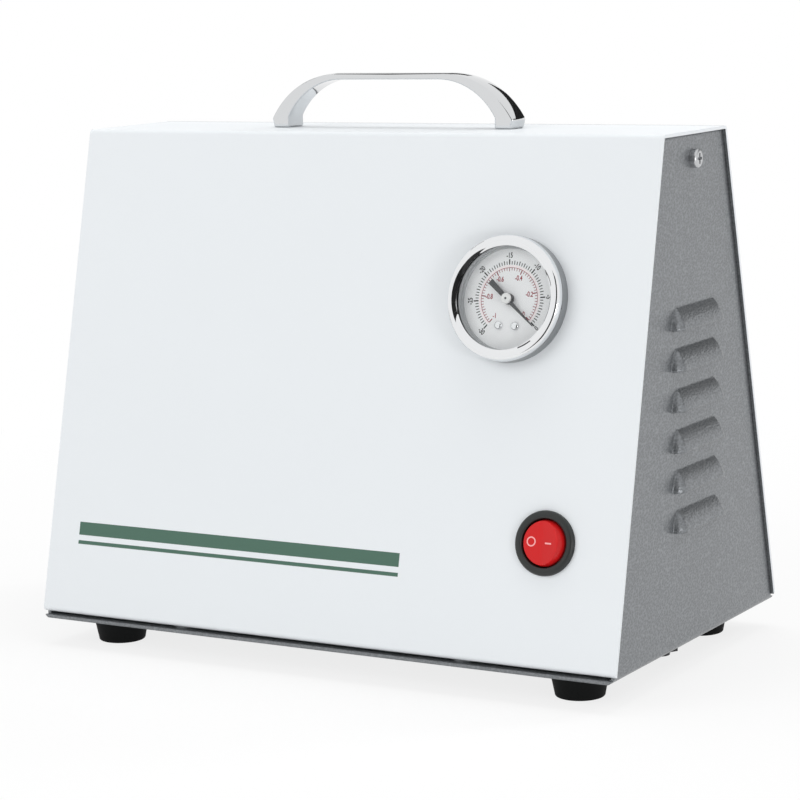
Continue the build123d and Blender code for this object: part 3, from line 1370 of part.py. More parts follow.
# ---------------------------------------------------------------- every node
NODES = {
    "chassis": make_chassis,
    "cover": make_cover,
    "handle": make_handle,
    "handle_screws": make_handle_screws,
    "side_screws": make_side_screws,
    "base_screws": make_base_screws,
    "rubber_feet": make_rubber_feet,
    "foot_screws": make_foot_screws,
    "switch_body": make_switch_body,
    "switch_rocker": make_switch_rocker,
    "switch_terminals": make_switch_terminals,
    "gauge_bezel": make_gauge_bezel,
    "gauge_lens": make_gauge_lens,
    "gauge_case": make_gauge_case,
    "gauge_dial": make_gauge_dial,
    "gauge_dial_screws": make_gauge_dial_screws,
    "gauge_pointer": make_gauge_pointer,
    "gauge_pinion": make_gauge_pinion,
    "gauge_sector": make_gauge_sector,
    "gauge_movement_frame": make_gauge_movement_frame,
    "bourdon_tube": make_bourdon_tube,
    "gauge_socket": make_gauge_socket,
    "gauge_clamp": make_gauge_clamp,
    "power_inlet": make_power_inlet,
    "inlet_pins": make_inlet_pins,
    "fuse_drawer": make_fuse_drawer,
    "fuse": make_fuse,
    "inlet_screws": make_inlet_screws,
    "vacuum_nozzle": make_vacuum_nozzle,
    "exhaust_nozzle": make_exhaust_nozzle,
    "hose_fittings": make_hose_fittings,
    "hoses": make_hoses,
    "vibration_mounts": make_vibration_mounts,
    "mount_studs": make_mount_studs,
    "mounting_plate": make_mounting_plate,
    "unit_screws": make_unit_screws,
    "fixing_nuts": make_fixing_nuts,
    "crankcase": make_crankcase,
    "fan_end_bell": make_fan_end_bell,
    "stator_core": make_stator_core,
    "stator_windings": make_stator_windings,
    "motor_tie_bolts": make_motor_tie_bolts,
    "rotor_core": make_rotor_core,
    "motor_shaft": make_motor_shaft,
    "cooling_fan": make_cooling_fan,
    "bearing_outer_rings": make_bearing_outer_rings,
    "bearing_inner_rings": make_bearing_inner_rings,
    "crank_bearing": make_crank_bearing,
    "crank_eccentric": make_crank_eccentric,
    "connecting_rod": make_connecting_rod,
    "diaphragm": make_diaphragm,
    "clamp_disc": make_clamp_disc,
    "clamp_screw": make_clamp_screw,
    "valve_plate": make_valve_plate,
    "valve_sheet": make_valve_sheet,
    "head_cover": make_head_cover,
    "head_screws": make_head_screws,
    "capacitor": make_capacitor,
    "wiring": make_wiring,
}

os.makedirs("parts", exist_ok=True)
for node, make in NODES.items():
    export_step(make(), "parts/" + node + ".step")
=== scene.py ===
import json
from math import cos, degrees, pi, radians, sin, sqrt, tan

import bmesh
import bpy
from bpy.props import FloatProperty, FloatVectorProperty, IntProperty, PointerProperty
from mathutils import Matrix, Vector


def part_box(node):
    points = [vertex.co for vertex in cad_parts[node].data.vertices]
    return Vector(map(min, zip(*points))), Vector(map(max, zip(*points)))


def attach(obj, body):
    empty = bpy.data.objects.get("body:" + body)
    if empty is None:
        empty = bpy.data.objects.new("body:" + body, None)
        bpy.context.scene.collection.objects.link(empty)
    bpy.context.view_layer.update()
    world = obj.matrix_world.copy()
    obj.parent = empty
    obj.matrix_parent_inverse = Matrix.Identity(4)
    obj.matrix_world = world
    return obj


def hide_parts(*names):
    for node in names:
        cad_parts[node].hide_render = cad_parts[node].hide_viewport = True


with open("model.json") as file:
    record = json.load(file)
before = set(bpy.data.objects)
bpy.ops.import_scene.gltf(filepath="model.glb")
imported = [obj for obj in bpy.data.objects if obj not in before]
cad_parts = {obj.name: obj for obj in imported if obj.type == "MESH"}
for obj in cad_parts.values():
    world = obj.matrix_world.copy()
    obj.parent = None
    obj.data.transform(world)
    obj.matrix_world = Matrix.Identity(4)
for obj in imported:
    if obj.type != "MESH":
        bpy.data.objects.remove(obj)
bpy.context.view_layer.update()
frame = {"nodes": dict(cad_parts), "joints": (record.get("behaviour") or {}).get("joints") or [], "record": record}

bl_info = {
    "name": "Bench Vacuum Pump",
    "version": (1, 0, 0),
    "blender": (4, 5, 0),
    "location": "3D View > Sidebar > Vacuum Pump",
    "description": "Finishes a bench-top diaphragm vacuum pump and sets it in a small studio",
    "category": "Object",
}

# ---------------------------------------------------------------- places taken from the frame
mm = 0.001
HOUSING = "housing"
JOINTS = {joint["name"]: joint for joint in frame["joints"]}
MOUNTS = {mount["name"]: mount for mount in frame["record"]["mounts"]}
SLOT_OF = {part["node"]: part["material_slot"] for part in frame["record"]["subparts"]}


def panel_place(origin, normal, along):
    """Place with X along the pump, Y up a sloping panel and Z straight out of it."""
    out = Vector(normal).normalized()
    side = Vector(along).normalized()
    up = out.cross(side)
    return Matrix.Translation(origin) @ Matrix((side, up, out)).transposed().to_4x4()


FRONT_OUT = Vector(JOINTS["pointer_turn"]["axis"])
BACK_OUT = Vector(MOUNTS["vacuum_port"]["axis"])
CHASSIS_LOW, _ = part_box("chassis")
_, COVER_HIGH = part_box("cover")
HANDLE_LOW, HANDLE_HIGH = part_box("handle")
BACK_FACE = BACK_OUT.dot(Vector((0, COVER_HIGH.y, CHASSIS_LOW.z)))     # distance of the back panel's face
ROCKER_PIVOT = 1.5 * mm     # depth of the rocker's pivot behind the front panel's face

FRONT = panel_place((0, CHASSIS_LOW.y, CHASSIS_LOW.z), FRONT_OUT, (1, 0, 0))
GAUGE = panel_place(JOINTS["pointer_turn"]["pos_m"], FRONT_OUT, (1, 0, 0))
PIVOT = Matrix.Translation((0, 0, -ROCKER_PIVOT))
SWITCH = panel_place(JOINTS["rocker_tip"]["pos_m"], FRONT_OUT, (1, 0, 0)) @ PIVOT.inverted()


def srgb(red, green, blue):
    """Linear colour of a display colour given in steps of 255."""
    shares = (step / 255 for step in (red, green, blue))
    return tuple(c / 12.92 if c <= 0.04045 else ((c + 0.055) / 1.055) ** 2.4 for c in shares)


# ---------------------------------------------------------------- settings
def length(name, description, default, least=0.0):
    return FloatProperty(name=name, description=description, default=default, min=least,
                         unit="LENGTH", subtype="DISTANCE")


def angle(name, description, turn):
    return FloatProperty(name=name, description=description, default=radians(turn),
                         unit="ROTATION", subtype="ANGLE")


def colour(name, description, value):
    return FloatVectorProperty(name=name, description=description, default=value, size=3,
                               min=0.0, max=1.0, subtype="COLOR")


def number(name, description, default, unit="NONE"):
    return FloatProperty(name=name, description=description, default=default, min=0.0, unit=unit)


class CasingSettings(bpy.types.PropertyGroup):
    cover_colour: colour("Cover paint", "Powder coat on the bent cover", srgb(235, 239, 242))
    chassis_colour: colour("Chassis paint", "Hammer finish on the base and both ends", srgb(131, 134, 137))
    dimple: length("Dimple", "Spacing of the hammer finish's dimples", 0.7 * mm)
    soft_edge: length("Soft edge", "Radius to which thick paint softens each edge", 1.1 * mm)
    stripe_colour: colour("Stripe", "Printed stripes low on the front panel", srgb(70, 106, 90))
    stripe_left: length("Stripe left end", "Left end, along the pump", -109 * mm, least=-1.0)
    stripe_length: length("Stripe length", "Length of both stripes", 142.3 * mm)
    stripe_rise: length("Stripe rise", "Middle of the stripes up the front panel", 34.2 * mm)


class HandleSettings(bpy.types.PropertyGroup):
    strap: length("Strap", "Thickness of the grip at its crown", 2.4 * mm)
    outer_bend: length("Outer bend", "Outside radius of each corner", 33.5 * mm)
    inner_bend: length("Inner bend", "Inside radius of each corner", 27.0 * mm)
    turn: angle("Turn", "Angle through which each corner bends", 61.0)
    foot_inner: length("Foot inside", "Half span to the feet's inner faces", 44.5 * mm)
    foot_outer: length("Foot outside", "Half span to the feet's outer faces", 52.0 * mm)
    edge: length("Edge", "Rounding of the long edges", 0.6 * mm)
    crown: length("Crown", "Rise of the outer face's middle above its long edges", 0.75 * mm)


class GaugeSettings(bpy.types.PropertyGroup):
    ring_radius: length("Ring radius", "Outside of the polished ring", 22.6 * mm)
    ring_proud: length("Ring height", "Ring above the front panel", 7.0 * mm)
    ring_opening: length("Opening", "Radius of the ring's opening", 18.5 * mm)
    dial_radius: length("Dial radius", "Radius of the printed dial", 18.9 * mm)
    dial_level: length("Dial level", "Printed face above the front panel", 1.2 * mm)
    window_top: length("Window level", "Outer face of the window above the front panel", 5.9 * mm)
    window_thickness: length("Window", "Thickness of the window", 1.5 * mm)
    pointer_level: length("Pointer level", "Pointer's blade above the front panel", 3.0 * mm)
    sweep: angle("Sweep", "Angle of the whole scale", 270.0)
    start: angle("Zero mark", "Direction of the zero mark", -40.0)
    dial_colour: colour("Dial", "Face of the dial", srgb(240, 240, 241))
    outer_colour: colour("Outer scale", "Marks and numbers of the outer scale", srgb(24, 24, 26))
    inner_colour: colour("Inner scale", "Marks and numbers of the inner scale", srgb(150, 44, 60))
    pointer_colour: colour("Pointer", "Painted pointer", srgb(74, 75, 77))


class SwitchSettings(bpy.types.PropertyGroup):
    bezel_radius: length("Bezel radius", "Outside of the switch's bezel", 11.5 * mm)
    bezel_proud: length("Bezel height", "Bezel above the front panel", 2.0 * mm)
    bore: length("Bore", "Radius of the opening round the rocker", 8.6 * mm)
    rocker_radius: length("Rocker radius", "Reach of the rocker's two slopes", 8.0 * mm)
    ball_radius: length("Ball radius", "Radius of the rocker's sides about its pivot", 8.42 * mm)
    rocker_rise: length("Rocker rise", "Rim of the level rocker above the panel", 3.2 * mm)
    throw: angle("Throw", "Whole travel of the rocker", 18.0)
    body_colour: colour("Body", "Moulded body of the switch", srgb(34, 37, 36))
    rocker_colour: colour("Rocker", "Moulded rocker", srgb(212, 28, 30))
    mark_colour: colour("Marks", "Printed ring and bar", srgb(255, 178, 178))


class StudioSettings(bpy.types.PropertyGroup):
    world_level: number("Room light", "Even light from all round", 0.5)
    key_power: number("Key", "Large soft lamp high at the front left", 8.7, "POWER")
    top_power: number("Top", "Soft lamp above", 6.9, "POWER")
    side_power: number("Side", "Lamp that rakes the right end", 3.0, "POWER")
    edge_power: number("Edge", "Small lamp low at the front right", 1.7, "POWER")
    floor_colour: colour("Floor", "Pale paper under the pump", (0.93, 0.93, 0.93))
    lens: number("Lens", "Focal length in millimetres", 122.82)
    fineness: IntProperty(name="Fineness", description="Steps round a turned piece", default=144, min=24)


SETTINGS = {
    "pump_casing": CasingSettings,
    "pump_handle": HandleSettings,
    "pump_gauge": GaugeSettings,
    "pump_switch": SwitchSettings,
    "pump_studio": StudioSettings,
}


# ---------------------------------------------------------------- node trees written as sums
class Wire:
    """A node's output that takes part in sums as a number does."""

    def __init__(self, tree, socket):
        self.tree = tree
        self.socket = socket

    def maths(self, operation, *values):
        return self.tree.node("Math", {"operation": operation}, dict(enumerate(values)))

    def __add__(self, other):
        return self.maths("ADD", self, other)

    def __radd__(self, other):
        return self.maths("ADD", other, self)

    def __sub__(self, other):
        return self.maths("SUBTRACT", self, other)

    def __rsub__(self, other):
        return self.maths("SUBTRACT", other, self)

    def __mul__(self, other):
        return self.maths("MULTIPLY", self, other)

    def __rmul__(self, other):
        return self.maths("MULTIPLY", other, self)

    def least(self, other):
        return self.maths("MINIMUM", self, other)

    def above(self, level):
        return self.maths("GREATER_THAN", self, level)

    def ramp(self, low, high, start=0.0, end=1.0):
        """Eases from start to end as the value goes from low to high."""
        return self.tree.node("MapRange", {"interpolation_type": "SMOOTHSTEP"}, {
            "Value": self, "From Min": low, "From Max": high, "To Min": start, "To Max": end})


class Tree:
    """Adds nodes to a node tree. A kind that names no family of nodes is of the tree's own."""

    family = "ShaderNode"

    def __init__(self, tree):
        self.tree = tree

    def node(self, kind, settings=None, sockets=None, output=0):
        """A new node's output, once its settings and then its sockets are set or linked."""
        node = self.tree.nodes.new(kind if "Node" in kind else self.family + kind)
        for key, value in (settings or {}).items():
            setattr(node, key, value)
        for key, value in (sockets or {}).items():
            if isinstance(value, Wire):
                self.tree.links.new(value.socket, node.inputs[key])
            else:
                node.inputs[key].default_value = value
        return Wire(self, node.outputs[output]) if node.outputs else node


class Finish(Tree):
    """A material whose patterns follow Object coordinates."""

    def __init__(self, name):
        self.material = bpy.data.materials.new(name)
        self.material.use_nodes = True
        super().__init__(self.material.node_tree)
        self.tree.nodes.clear()
        self.place = self.node("TexCoord", output="Object")

    def noise(self, size, detail=3.0, roughness=0.5, place=None):
        """Noise from 0 to 1 with lumps of a size in metres."""
        return self.node("TexNoise", None, {
            "Vector": place or self.place, "Scale": 1 / size, "Detail": detail, "Roughness": roughness})

    def stretched(self, x, y, z):
        """Object coordinates scaled along each axis."""
        return self.node("VectorMath", {"operation": "MULTIPLY"}, {0: self.place, 1: (x, y, z)})

    def along(self, direction):
        """Distance from the frame's origin along a direction."""
        sockets = {0: self.place, 1: tuple(direction)}
        return self.node("VectorMath", {"operation": "DOT_PRODUCT"}, sockets, output="Value")

    def mix(self, factor, a, b):
        ends = [value if isinstance(value, Wire) else (*value, 1.0) for value in (a, b)]
        return self.node("Mix", {"data_type": "RGBA"}, {0: factor, 6: ends[0], 7: ends[1]}, output=2)

    def bump(self, height, depth, strength=1.0, normal=None):
        """Bent normal from a height of 0 to 1, which stands for a depth in metres."""
        sockets = {"Height": height, "Distance": depth, "Strength": strength}
        if normal:
            sockets["Normal"] = normal
        return self.node("Bump", None, sockets)

    def blend(self, factor, first, second):
        """One surface where the factor is 0 and the other where it is 1."""
        return self.node("MixShader", None, {0: factor, 1: first, 2: second})

    def principled(self, **sockets):
        """Principled surface. A colour of three channels gets full alpha."""
        values = {}
        for key, value in sockets.items():
            plain = isinstance(value, tuple) and len(value) == 3
            values[key.replace("_", " ").title().replace("Ior", "IOR")] = (*value, 1.0) if plain else value
        return self.node("BsdfPrincipled", None, values)

    def surface(self, cloud, colours, grain, rough, dents=None, stained=False, **sockets):
        """Surface whose colour drifts between two with a cloud, and whose grain roughens and dents it.

        rough is the least roughness and what the grain adds to it. dents is the grain's depth and strength.
        A metal with painted shade below is painted near black where it stands out below the base plate, as painted
        shade under the pump."""
        tone = self.mix(cloud, *colours)
        # Painted shade: the colour turns near black below the base plate's underside, where the pump shades what
        # lies under it.
        if stained:
            tone = self.mix(self.along((0, 0, 1)).above(CHASSIS_LOW.z - 0.1 * mm), (0.05, 0.05, 0.052), tone)
        if dents:
            sockets["normal"] = self.bump(grain, *dents)
        least, added = rough
        return self.principled(base_color=tone, roughness=least + grain * added, **sockets)

    def made(self, *values, **sockets):
        """The material, with one such surface."""
        return self.done(self.surface(*values, **sockets))

    def done(self, surface):
        self.node("OutputMaterial", None, {"Surface": surface})
        return self.material


# ---------------------------------------------------------------- finishes
def settings(name):
    return getattr(bpy.context.scene, name)


def times(tint, factor, lift=0.0):
    """A colour with its channels scaled, and lifted where asked."""
    return tuple(channel * factor + lift for channel in tint)


def powder_coat(finish):
    """Smooth satin powder coat with a faint orange peel."""
    peel, broad = finish.noise(1.6 * mm, 1.0), finish.noise(60 * mm, 2.0)
    base = tuple(settings("pump_casing").cover_colour)
    return finish.surface(broad, (times(base, 0.985), base), peel, (0.36, 0.05), (0.004 * mm, 0.5),
                          specular_ior_level=0.45)


def hammer_paint(finish, soft_edge):
    """Gray enamel that has dried in small dimples with bright rims, and runs thick over each edge."""
    casing = settings("pump_casing")
    long_way = finish.stretched(1.0, 0.55, 1.0)
    warp = finish.noise(3.0 * mm, 1.0)
    place = finish.node("VectorMath", {"operation": "ADD"}, {0: long_way, 1: warp * (0.6 * mm)})
    cells = finish.node("TexVoronoi", {"feature": "SMOOTH_F1"}, {
        "Vector": place, "Scale": 1 / casing.dimple, "Smoothness": 0.35})
    fine = finish.noise(0.5 * mm, 2.0, place=long_way)
    height = (1 - cells) * 0.9 + fine * 0.1
    base = tuple(casing.chassis_colour)
    pit, rim = times(base, 0.62), times(base, 1.2)
    rounded = finish.node("Bevel", {"samples": 6}, {"Radius": soft_edge})
    return finish.surface(cells, (pit, rim), fine, (0.27, 0.08), metallic=0.6,
                          normal=finish.bump(height, 0.11 * mm, 0.9, rounded))


def chassis_paint(name):
    finish = Finish(name)
    return finish.done(hammer_paint(finish, settings("pump_casing").soft_edge))


def cover_paint(name):
    """White powder coat in front, on top and on the sheet's cut edges, and hammer finish on the back."""
    sheet, cut_edge, soft_edge = 1.4 * mm, 0.1 * mm, 0.06 * mm
    finish = Finish(name)
    across = finish.along((1, 0, 0))
    behind = finish.along(BACK_OUT).above(BACK_FACE - sheet)
    at_edge = (across * across).above((COVER_HIGH.x - cut_edge) ** 2)
    gray = behind * (1 - at_edge)
    return finish.done(finish.blend(gray, powder_coat(finish), hammer_paint(finish, soft_edge)))


def polished(name, tint, smear=0.03):
    """Bright plating over polished metal."""
    finish = Finish(name)
    haze = finish.noise(9 * mm, 4.0)
    return finish.made(haze, (times(tint, 0.98), tint), haze, (0.035, smear), metallic=1.0)


def plated_steel(name, tint=(0.60, 0.61, 0.62), rough=0.26):
    """Zinc plate: fine crystals and slight clouding."""
    finish = Finish(name)
    grain, cloud = finish.noise(0.35 * mm), finish.noise(4 * mm, 2.0)
    # Painted shade: the plate is painted near black where it stands below the base plate.
    return finish.made(cloud, (times(tint, 0.86), tint), grain, (rough, 0.14), (0.01 * mm, 0.4),
                       stained=True, metallic=1.0)


def turned_metal(name, tint, rough=0.22):
    """Metal with the fine lines that a cutting tool leaves."""
    finish = Finish(name)
    lines = finish.noise(0.12 * mm, 1.0, place=finish.stretched(1.0, 0.15, 0.15))
    cloud = finish.noise(5 * mm, 2.0)
    # Painted shade: the metal is painted near black where it stands below the base plate.
    return finish.made(cloud, (times(tint, 0.82), tint), lines, (rough, 0.12), (0.006 * mm, 0.5),
                       stained=True, metallic=1.0)


def cast_metal(name, tint=(0.50, 0.51, 0.52)):
    """Sand-blasted casting with a fine open grain."""
    finish = Finish(name)
    grain, cloud = finish.noise(0.7 * mm, 4.0, 0.65), finish.noise(14 * mm, 2.0)
    return finish.made(cloud, (times(tint, 0.8), tint), grain, (0.46, 0.2), (0.06 * mm, 0.6),
                       metallic=0.9)


def laminations(name):
    """Stack of varnished sheets, seen as fine lines across the shaft."""
    pitch = 1.0 * mm
    finish = Finish(name)
    sheets = finish.node("TexWave", {"bands_direction": "X"}, {
        "Vector": finish.place, "Scale": 0.314 / pitch, "Distortion": 0.0}, output=1)
    varnish, edge = (0.09, 0.095, 0.10), (0.22, 0.23, 0.24)
    return finish.made(sheets, (varnish, edge), finish.noise(0.8 * mm), (0.38, 0.2),
                       metallic=0.8, normal=finish.bump(sheets, 0.08 * mm, 0.5))


def copper_winding(name):
    """Bundle of varnished wires that run round the winding heads."""
    finish = Finish(name)
    wires = finish.noise(0.5 * mm, 0.0, place=finish.stretched(1.0, 0.2, 0.2))
    cloud = finish.noise(6 * mm, 2.0)
    return finish.made(cloud, ((0.36, 0.12, 0.04), (0.62, 0.26, 0.10)), wires, (0.30, 0.2), (0.2 * mm, 0.8),
                       metallic=0.7, coat_weight=0.6)


def rubber(name, tint=(0.004, 0.0045, 0.0045), rough=0.62):
    """Moulded rubber with a dusty, matte skin."""
    finish = Finish(name)
    grain, bloom = finish.noise(0.5 * mm, 4.0, 0.7), finish.noise(9 * mm)
    return finish.made(bloom, (tint, times(tint, 1.6, 0.001)), grain, (rough, 0.18),
                       (0.02 * mm, 0.5), specular_ior_level=0.12)


def moulded_plastic(name, tint, rough=0.34, grain_depth=0.010 * mm):
    """Injection moulding with a fine spark-eroded grain."""
    finish = Finish(name)
    grain, cloud = finish.noise(0.28 * mm, 2.0, 0.6), finish.noise(12 * mm, 2.0)
    return finish.made(cloud, (times(tint, 0.92), tint), grain, (rough, 0.12), (grain_depth, 0.6))


def glossy_plastic(name, tint):
    """Glossy moulding whose colour has a little depth."""
    finish = Finish(name)
    cloud, sink = finish.noise(7 * mm, 1.0), finish.noise(5 * mm, 0.0)
    return finish.made(cloud, (times(tint, 0.9), tint), cloud, (0.20, 0.05),
                       specular_ior_level=0.3, normal=finish.bump(sink, 0.03 * mm, 0.25))


def printed_ink(name, tint):
    """Screen-printed ink, a little uneven where it lies thin."""
    finish = Finish(name)
    thin = finish.noise(0.35 * mm, 2.0)
    return finish.made(thin, (tint, times(tint, 0.9, 0.012)), thin, (0.42, 0.1))


def dial_enamel(name):
    """Stoved enamel of the dial, with a faint satin grain."""
    finish = Finish(name)
    grain = finish.noise(0.25 * mm)
    base = tuple(settings("pump_gauge").dial_colour)
    return finish.made(grain, (base, times(base, 0.97)), grain, (0.40, 0.1), (0.004 * mm, 0.4))


def clear_window(name):
    """Flat clear window: it lets light straight through, and its outer faces mirror more at a slant."""
    finish = Finish(name)
    smear = finish.noise(8 * mm)
    mirror = finish.node("BsdfGlossy", None, {"Color": (1, 1, 1, 1), "Roughness": 0.01 + smear * 0.02})
    through = finish.node("BsdfTransparent", None, {"Color": (0.985, 0.99, 0.99, 1)})
    slant = finish.node("Fresnel", None, {"IOR": 1.45})
    from_inside = finish.node("NewGeometry", output="Backfacing")
    return finish.done(finish.blend(slant * 0.3 * (1 - from_inside), through, mirror))


def soft_tube(name, tint, rough=0.3):
    """Milky silicone tube."""
    finish = Finish(name)
    cloud, skin = finish.noise(10 * mm, 2.0), finish.noise(0.8 * mm, 2.0)
    return finish.made(cloud, (times(tint, 0.92), tint), skin, (rough, 0.1), (0.01 * mm, 0.4),
                       subsurface_weight=0.2, subsurface_scale=2 * mm)


# Each slot's finish: the function that makes it and what it is given after its name
FINISHES = {
    "white_paint": (cover_paint,),
    "gray_hammer_paint": (chassis_paint,),
    "handle_chrome": (polished, (0.68, 0.69, 0.70)),
    "gauge_chrome": (polished, (0.82, 0.83, 0.84), 0.02),
    "zinc_steel": (plated_steel,),
    "black_rubber": (rubber,),
    "switch_black": (moulded_plastic, "pump_switch.body_colour"),
    "rocker_red": (glossy_plastic, "pump_switch.rocker_colour"),
    "brass": (turned_metal, (0.72, 0.50, 0.22)),
    "nickel_brass": (turned_metal, (0.66, 0.63, 0.57), 0.18),
    "gauge_glass": (clear_window,),
    "dial_print": (dial_enamel,),
    "pointer_gray": (printed_ink, "pump_gauge.pointer_colour"),
    "gauge_black": (plated_steel, (0.16, 0.16, 0.165), 0.30),
    "inlet_black": (moulded_plastic, (0.02, 0.02, 0.021), 0.38, 0.02 * mm),
    "fuse_glass": (polished, (0.75, 0.77, 0.78)),
    "clear_hose": (soft_tube, (0.72, 0.74, 0.73)),
    "cast_aluminium": (cast_metal,),
    "moulded_head": (cast_metal, (0.56, 0.57, 0.58)),
    "lamination_steel": (laminations,),
    "winding_copper": (copper_winding,),
    "ground_steel": (turned_metal, (0.58, 0.59, 0.60), 0.16),
    "fan_plastic": (moulded_plastic, (0.025, 0.027, 0.03), 0.42),
    "diaphragm_rubber": (rubber, (0.02, 0.02, 0.022), 0.5),
    "valve_rubber": (rubber, (0.22, 0.10, 0.04), 0.5),
    "capacitor_can": (turned_metal, (0.64, 0.65, 0.66), 0.3),
    "wire_sheath": (soft_tube, (0.03, 0.03, 0.035), 0.4),
}
READY = {}


def finish_of(slot):
    """The finish of a record's slot, made at its first use. Text names a colour in the settings."""
    if slot not in READY:
        make, *given = FINISHES[slot]
        if given and isinstance(given[0], str):
            group, key = given[0].split(".")
            given[0] = tuple(getattr(settings(group), key))
        READY[slot] = make("finish_" + slot, *given)
    return READY[slot]


# ---------------------------------------------------------------- mesh helpers
WELD = 1e-7     # corners this close, in metres, become one


def arc(centre, radius, first, last, steps):
    """Points of an arc between two directions given in degrees."""
    turns = [radians(first + (last - first) * index / steps) for index in range(steps + 1)]
    return [(centre[0] + radius * cos(turn), centre[1] + radius * sin(turn)) for turn in turns]


def arc_through(first, middle, last, steps):
    """Points of a smooth curve that starts, bends and ends at three points."""
    points = []
    control = [2 * m - (a + b) / 2 for a, m, b in zip(first, middle, last)]
    for index in range(steps + 1):
        t = index / steps
        near, bend, far = (1 - t) ** 2, 2 * t * (1 - t), t * t
        points.append(tuple(near * a + bend * c + far * b for a, c, b in zip(first, control, last)))
    return points


def bridge(mesh, near, far):
    """Faces between two loops of as many corners."""
    for index in range(len(near)):
        mesh.faces.new((near[index - 1], near[index], far[index], far[index - 1]))


def closed(mesh):
    """The mesh once its faces all look outwards."""
    bmesh.ops.recalc_face_normals(mesh, faces=mesh.faces)
    return mesh


def turned(outline, steps=None):
    """Closed mesh of revolution about Z from its closed outline of (radius, height)."""
    steps = steps or settings("pump_studio").fineness
    mesh = bmesh.new()
    turns = [2 * pi * index / steps for index in range(steps)]
    rings = [[mesh.verts.new((r * cos(turn), r * sin(turn), z)) for r, z in outline] for turn in turns]
    for ring, following in zip(rings, rings[1:] + rings[:1]):
        bridge(mesh, ring, following)
    bmesh.ops.remove_doubles(mesh, verts=mesh.verts, dist=WELD)
    return closed(mesh)


def slab(outline, low, high):
    """Flat plate with an outline of (x, y) between two levels."""
    mesh = bmesh.new()
    floor = [mesh.verts.new((x, y, low)) for x, y in outline]
    roof = [mesh.verts.new((x, y, high)) for x, y in outline]
    bridge(mesh, floor, roof)
    mesh.faces.new(floor)
    mesh.faces.new(roof)
    return closed(mesh)


def rectangle(left, right, low, high):
    """Outline of four corners."""
    return [(left, low), (right, low), (right, high), (left, high)]


def stored(mesh, name):
    """Mesh data of a mesh, which is used up."""
    data = bpy.data.meshes.new(name)
    mesh.to_mesh(data)
    mesh.free()
    return data


def opened(*stores):
    """One mesh from the mesh data of several, which is used up."""
    mesh = bmesh.new()
    for data in stores:
        mesh.from_mesh(data)
        bpy.data.meshes.remove(data)
    return mesh


def joined(*meshes):
    """One mesh from several, which are used up."""
    return opened(*(stored(mesh, "part") for mesh in meshes))


def shade(mesh):
    """Smooth shading that breaks where faces meet at more than 35 degrees."""
    for face in mesh.faces:
        face.smooth = True
    for edge in mesh.edges:
        edge.smooth = len(edge.link_faces) != 2 or edge.calc_face_angle() < radians(35)


def placed(name, data):
    """New object in the scene."""
    thing = bpy.data.objects.new(name, data)
    bpy.context.scene.collection.objects.link(thing)
    return thing


def applied(thing):
    """Plain mesh of an object with its modifiers applied."""
    graph = bpy.context.evaluated_depsgraph_get()
    return bpy.data.meshes.new_from_object(thing.evaluated_get(graph))


def add_piece(name, mesh, place, slot, body=HOUSING, replaces=(), material=None):
    """Puts a mesh into the scene as a piece, in its slot's finish unless another material is given."""
    if isinstance(mesh, bmesh.types.BMesh):
        shade(mesh)
        data = stored(mesh, name)
    else:
        data = mesh
        data.name = name
    data.transform(place)
    data.materials.clear()
    data.materials.append(material or finish_of(slot))
    piece = placed(name, data)
    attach(piece, body)
    if replaces:
        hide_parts(*replaces)


def bevelled(mesh, width, steps=4):
    """The mesh with its edges of more than 40 degrees rounded and its flats kept flat."""
    for face in mesh.faces:
        face.smooth = True
    thing = placed("bevelled", stored(mesh, "bevelled"))
    bevel = thing.modifiers.new("Edges", "BEVEL")
    bevel.width = width
    bevel.segments = steps
    bevel.limit_method = "ANGLE"
    bevel.angle_limit = radians(40)
    bevel.harden_normals = True
    result = applied(thing)
    bpy.data.objects.remove(thing)
    return result


# ---------------------------------------------------------------- geometry node trees
class Recipe(Tree):
    """A geometry node tree with named inputs."""

    family = "GeometryNode"

    def __init__(self, name, **inputs):
        super().__init__(bpy.data.node_groups.new(name, "GeometryNodeTree"))
        for label, kind in inputs.items():
            self.tree.interface.new_socket(label, in_out="INPUT", socket_type="NodeSocket" + kind)
        self.tree.interface.new_socket("Geometry", in_out="OUTPUT", socket_type="NodeSocketGeometry")
        group = self.tree.nodes.new("NodeGroupInput")
        self.inputs = {label: Wire(self, group.outputs[label]) for label in inputs}

    def end(self, instances):
        """Realize the instances, give them their material and end the tree."""
        real = self.node("RealizeInstances", None, {"Geometry": instances})
        painted = self.node("SetMaterial", None, {"Geometry": real, "Material": self.inputs["Material"]})
        self.node("NodeGroupOutput", None, {"Geometry": painted})
        return self.tree


def marks_recipe():
    """Thin bars that stand round an arc, each pointing at its centre."""
    sizes = ("Radius", "Length", "Width", "Thickness", "Start", "Sweep")
    recipe = Recipe("Dial marks", Marks="Int", Material="Material", **dict.fromkeys(sizes, "Float"))
    given = recipe.inputs
    line = recipe.node("CurveArc", {"mode": "RADIUS"}, {
        "Resolution": given["Marks"], "Radius": given["Radius"],
        "Start Angle": given["Start"], "Sweep Angle": given["Sweep"]})
    points = recipe.node("CurveToPoints", {"mode": "EVALUATED"}, {"Curve": line})
    size = recipe.node("ShaderNodeCombineXYZ", None, {
        0: given["Length"], 1: given["Width"], 2: given["Thickness"]})
    bar = recipe.node("MeshCube", None, {"Size": size})
    place = recipe.node("InputPosition")
    turn = recipe.node("FunctionNodeAlignRotationToVector", {"axis": "X"}, {"Vector": place})
    return recipe.end(recipe.node("InstanceOnPoints", None, {
        "Points": points, "Instance": bar, "Rotation": turn}))


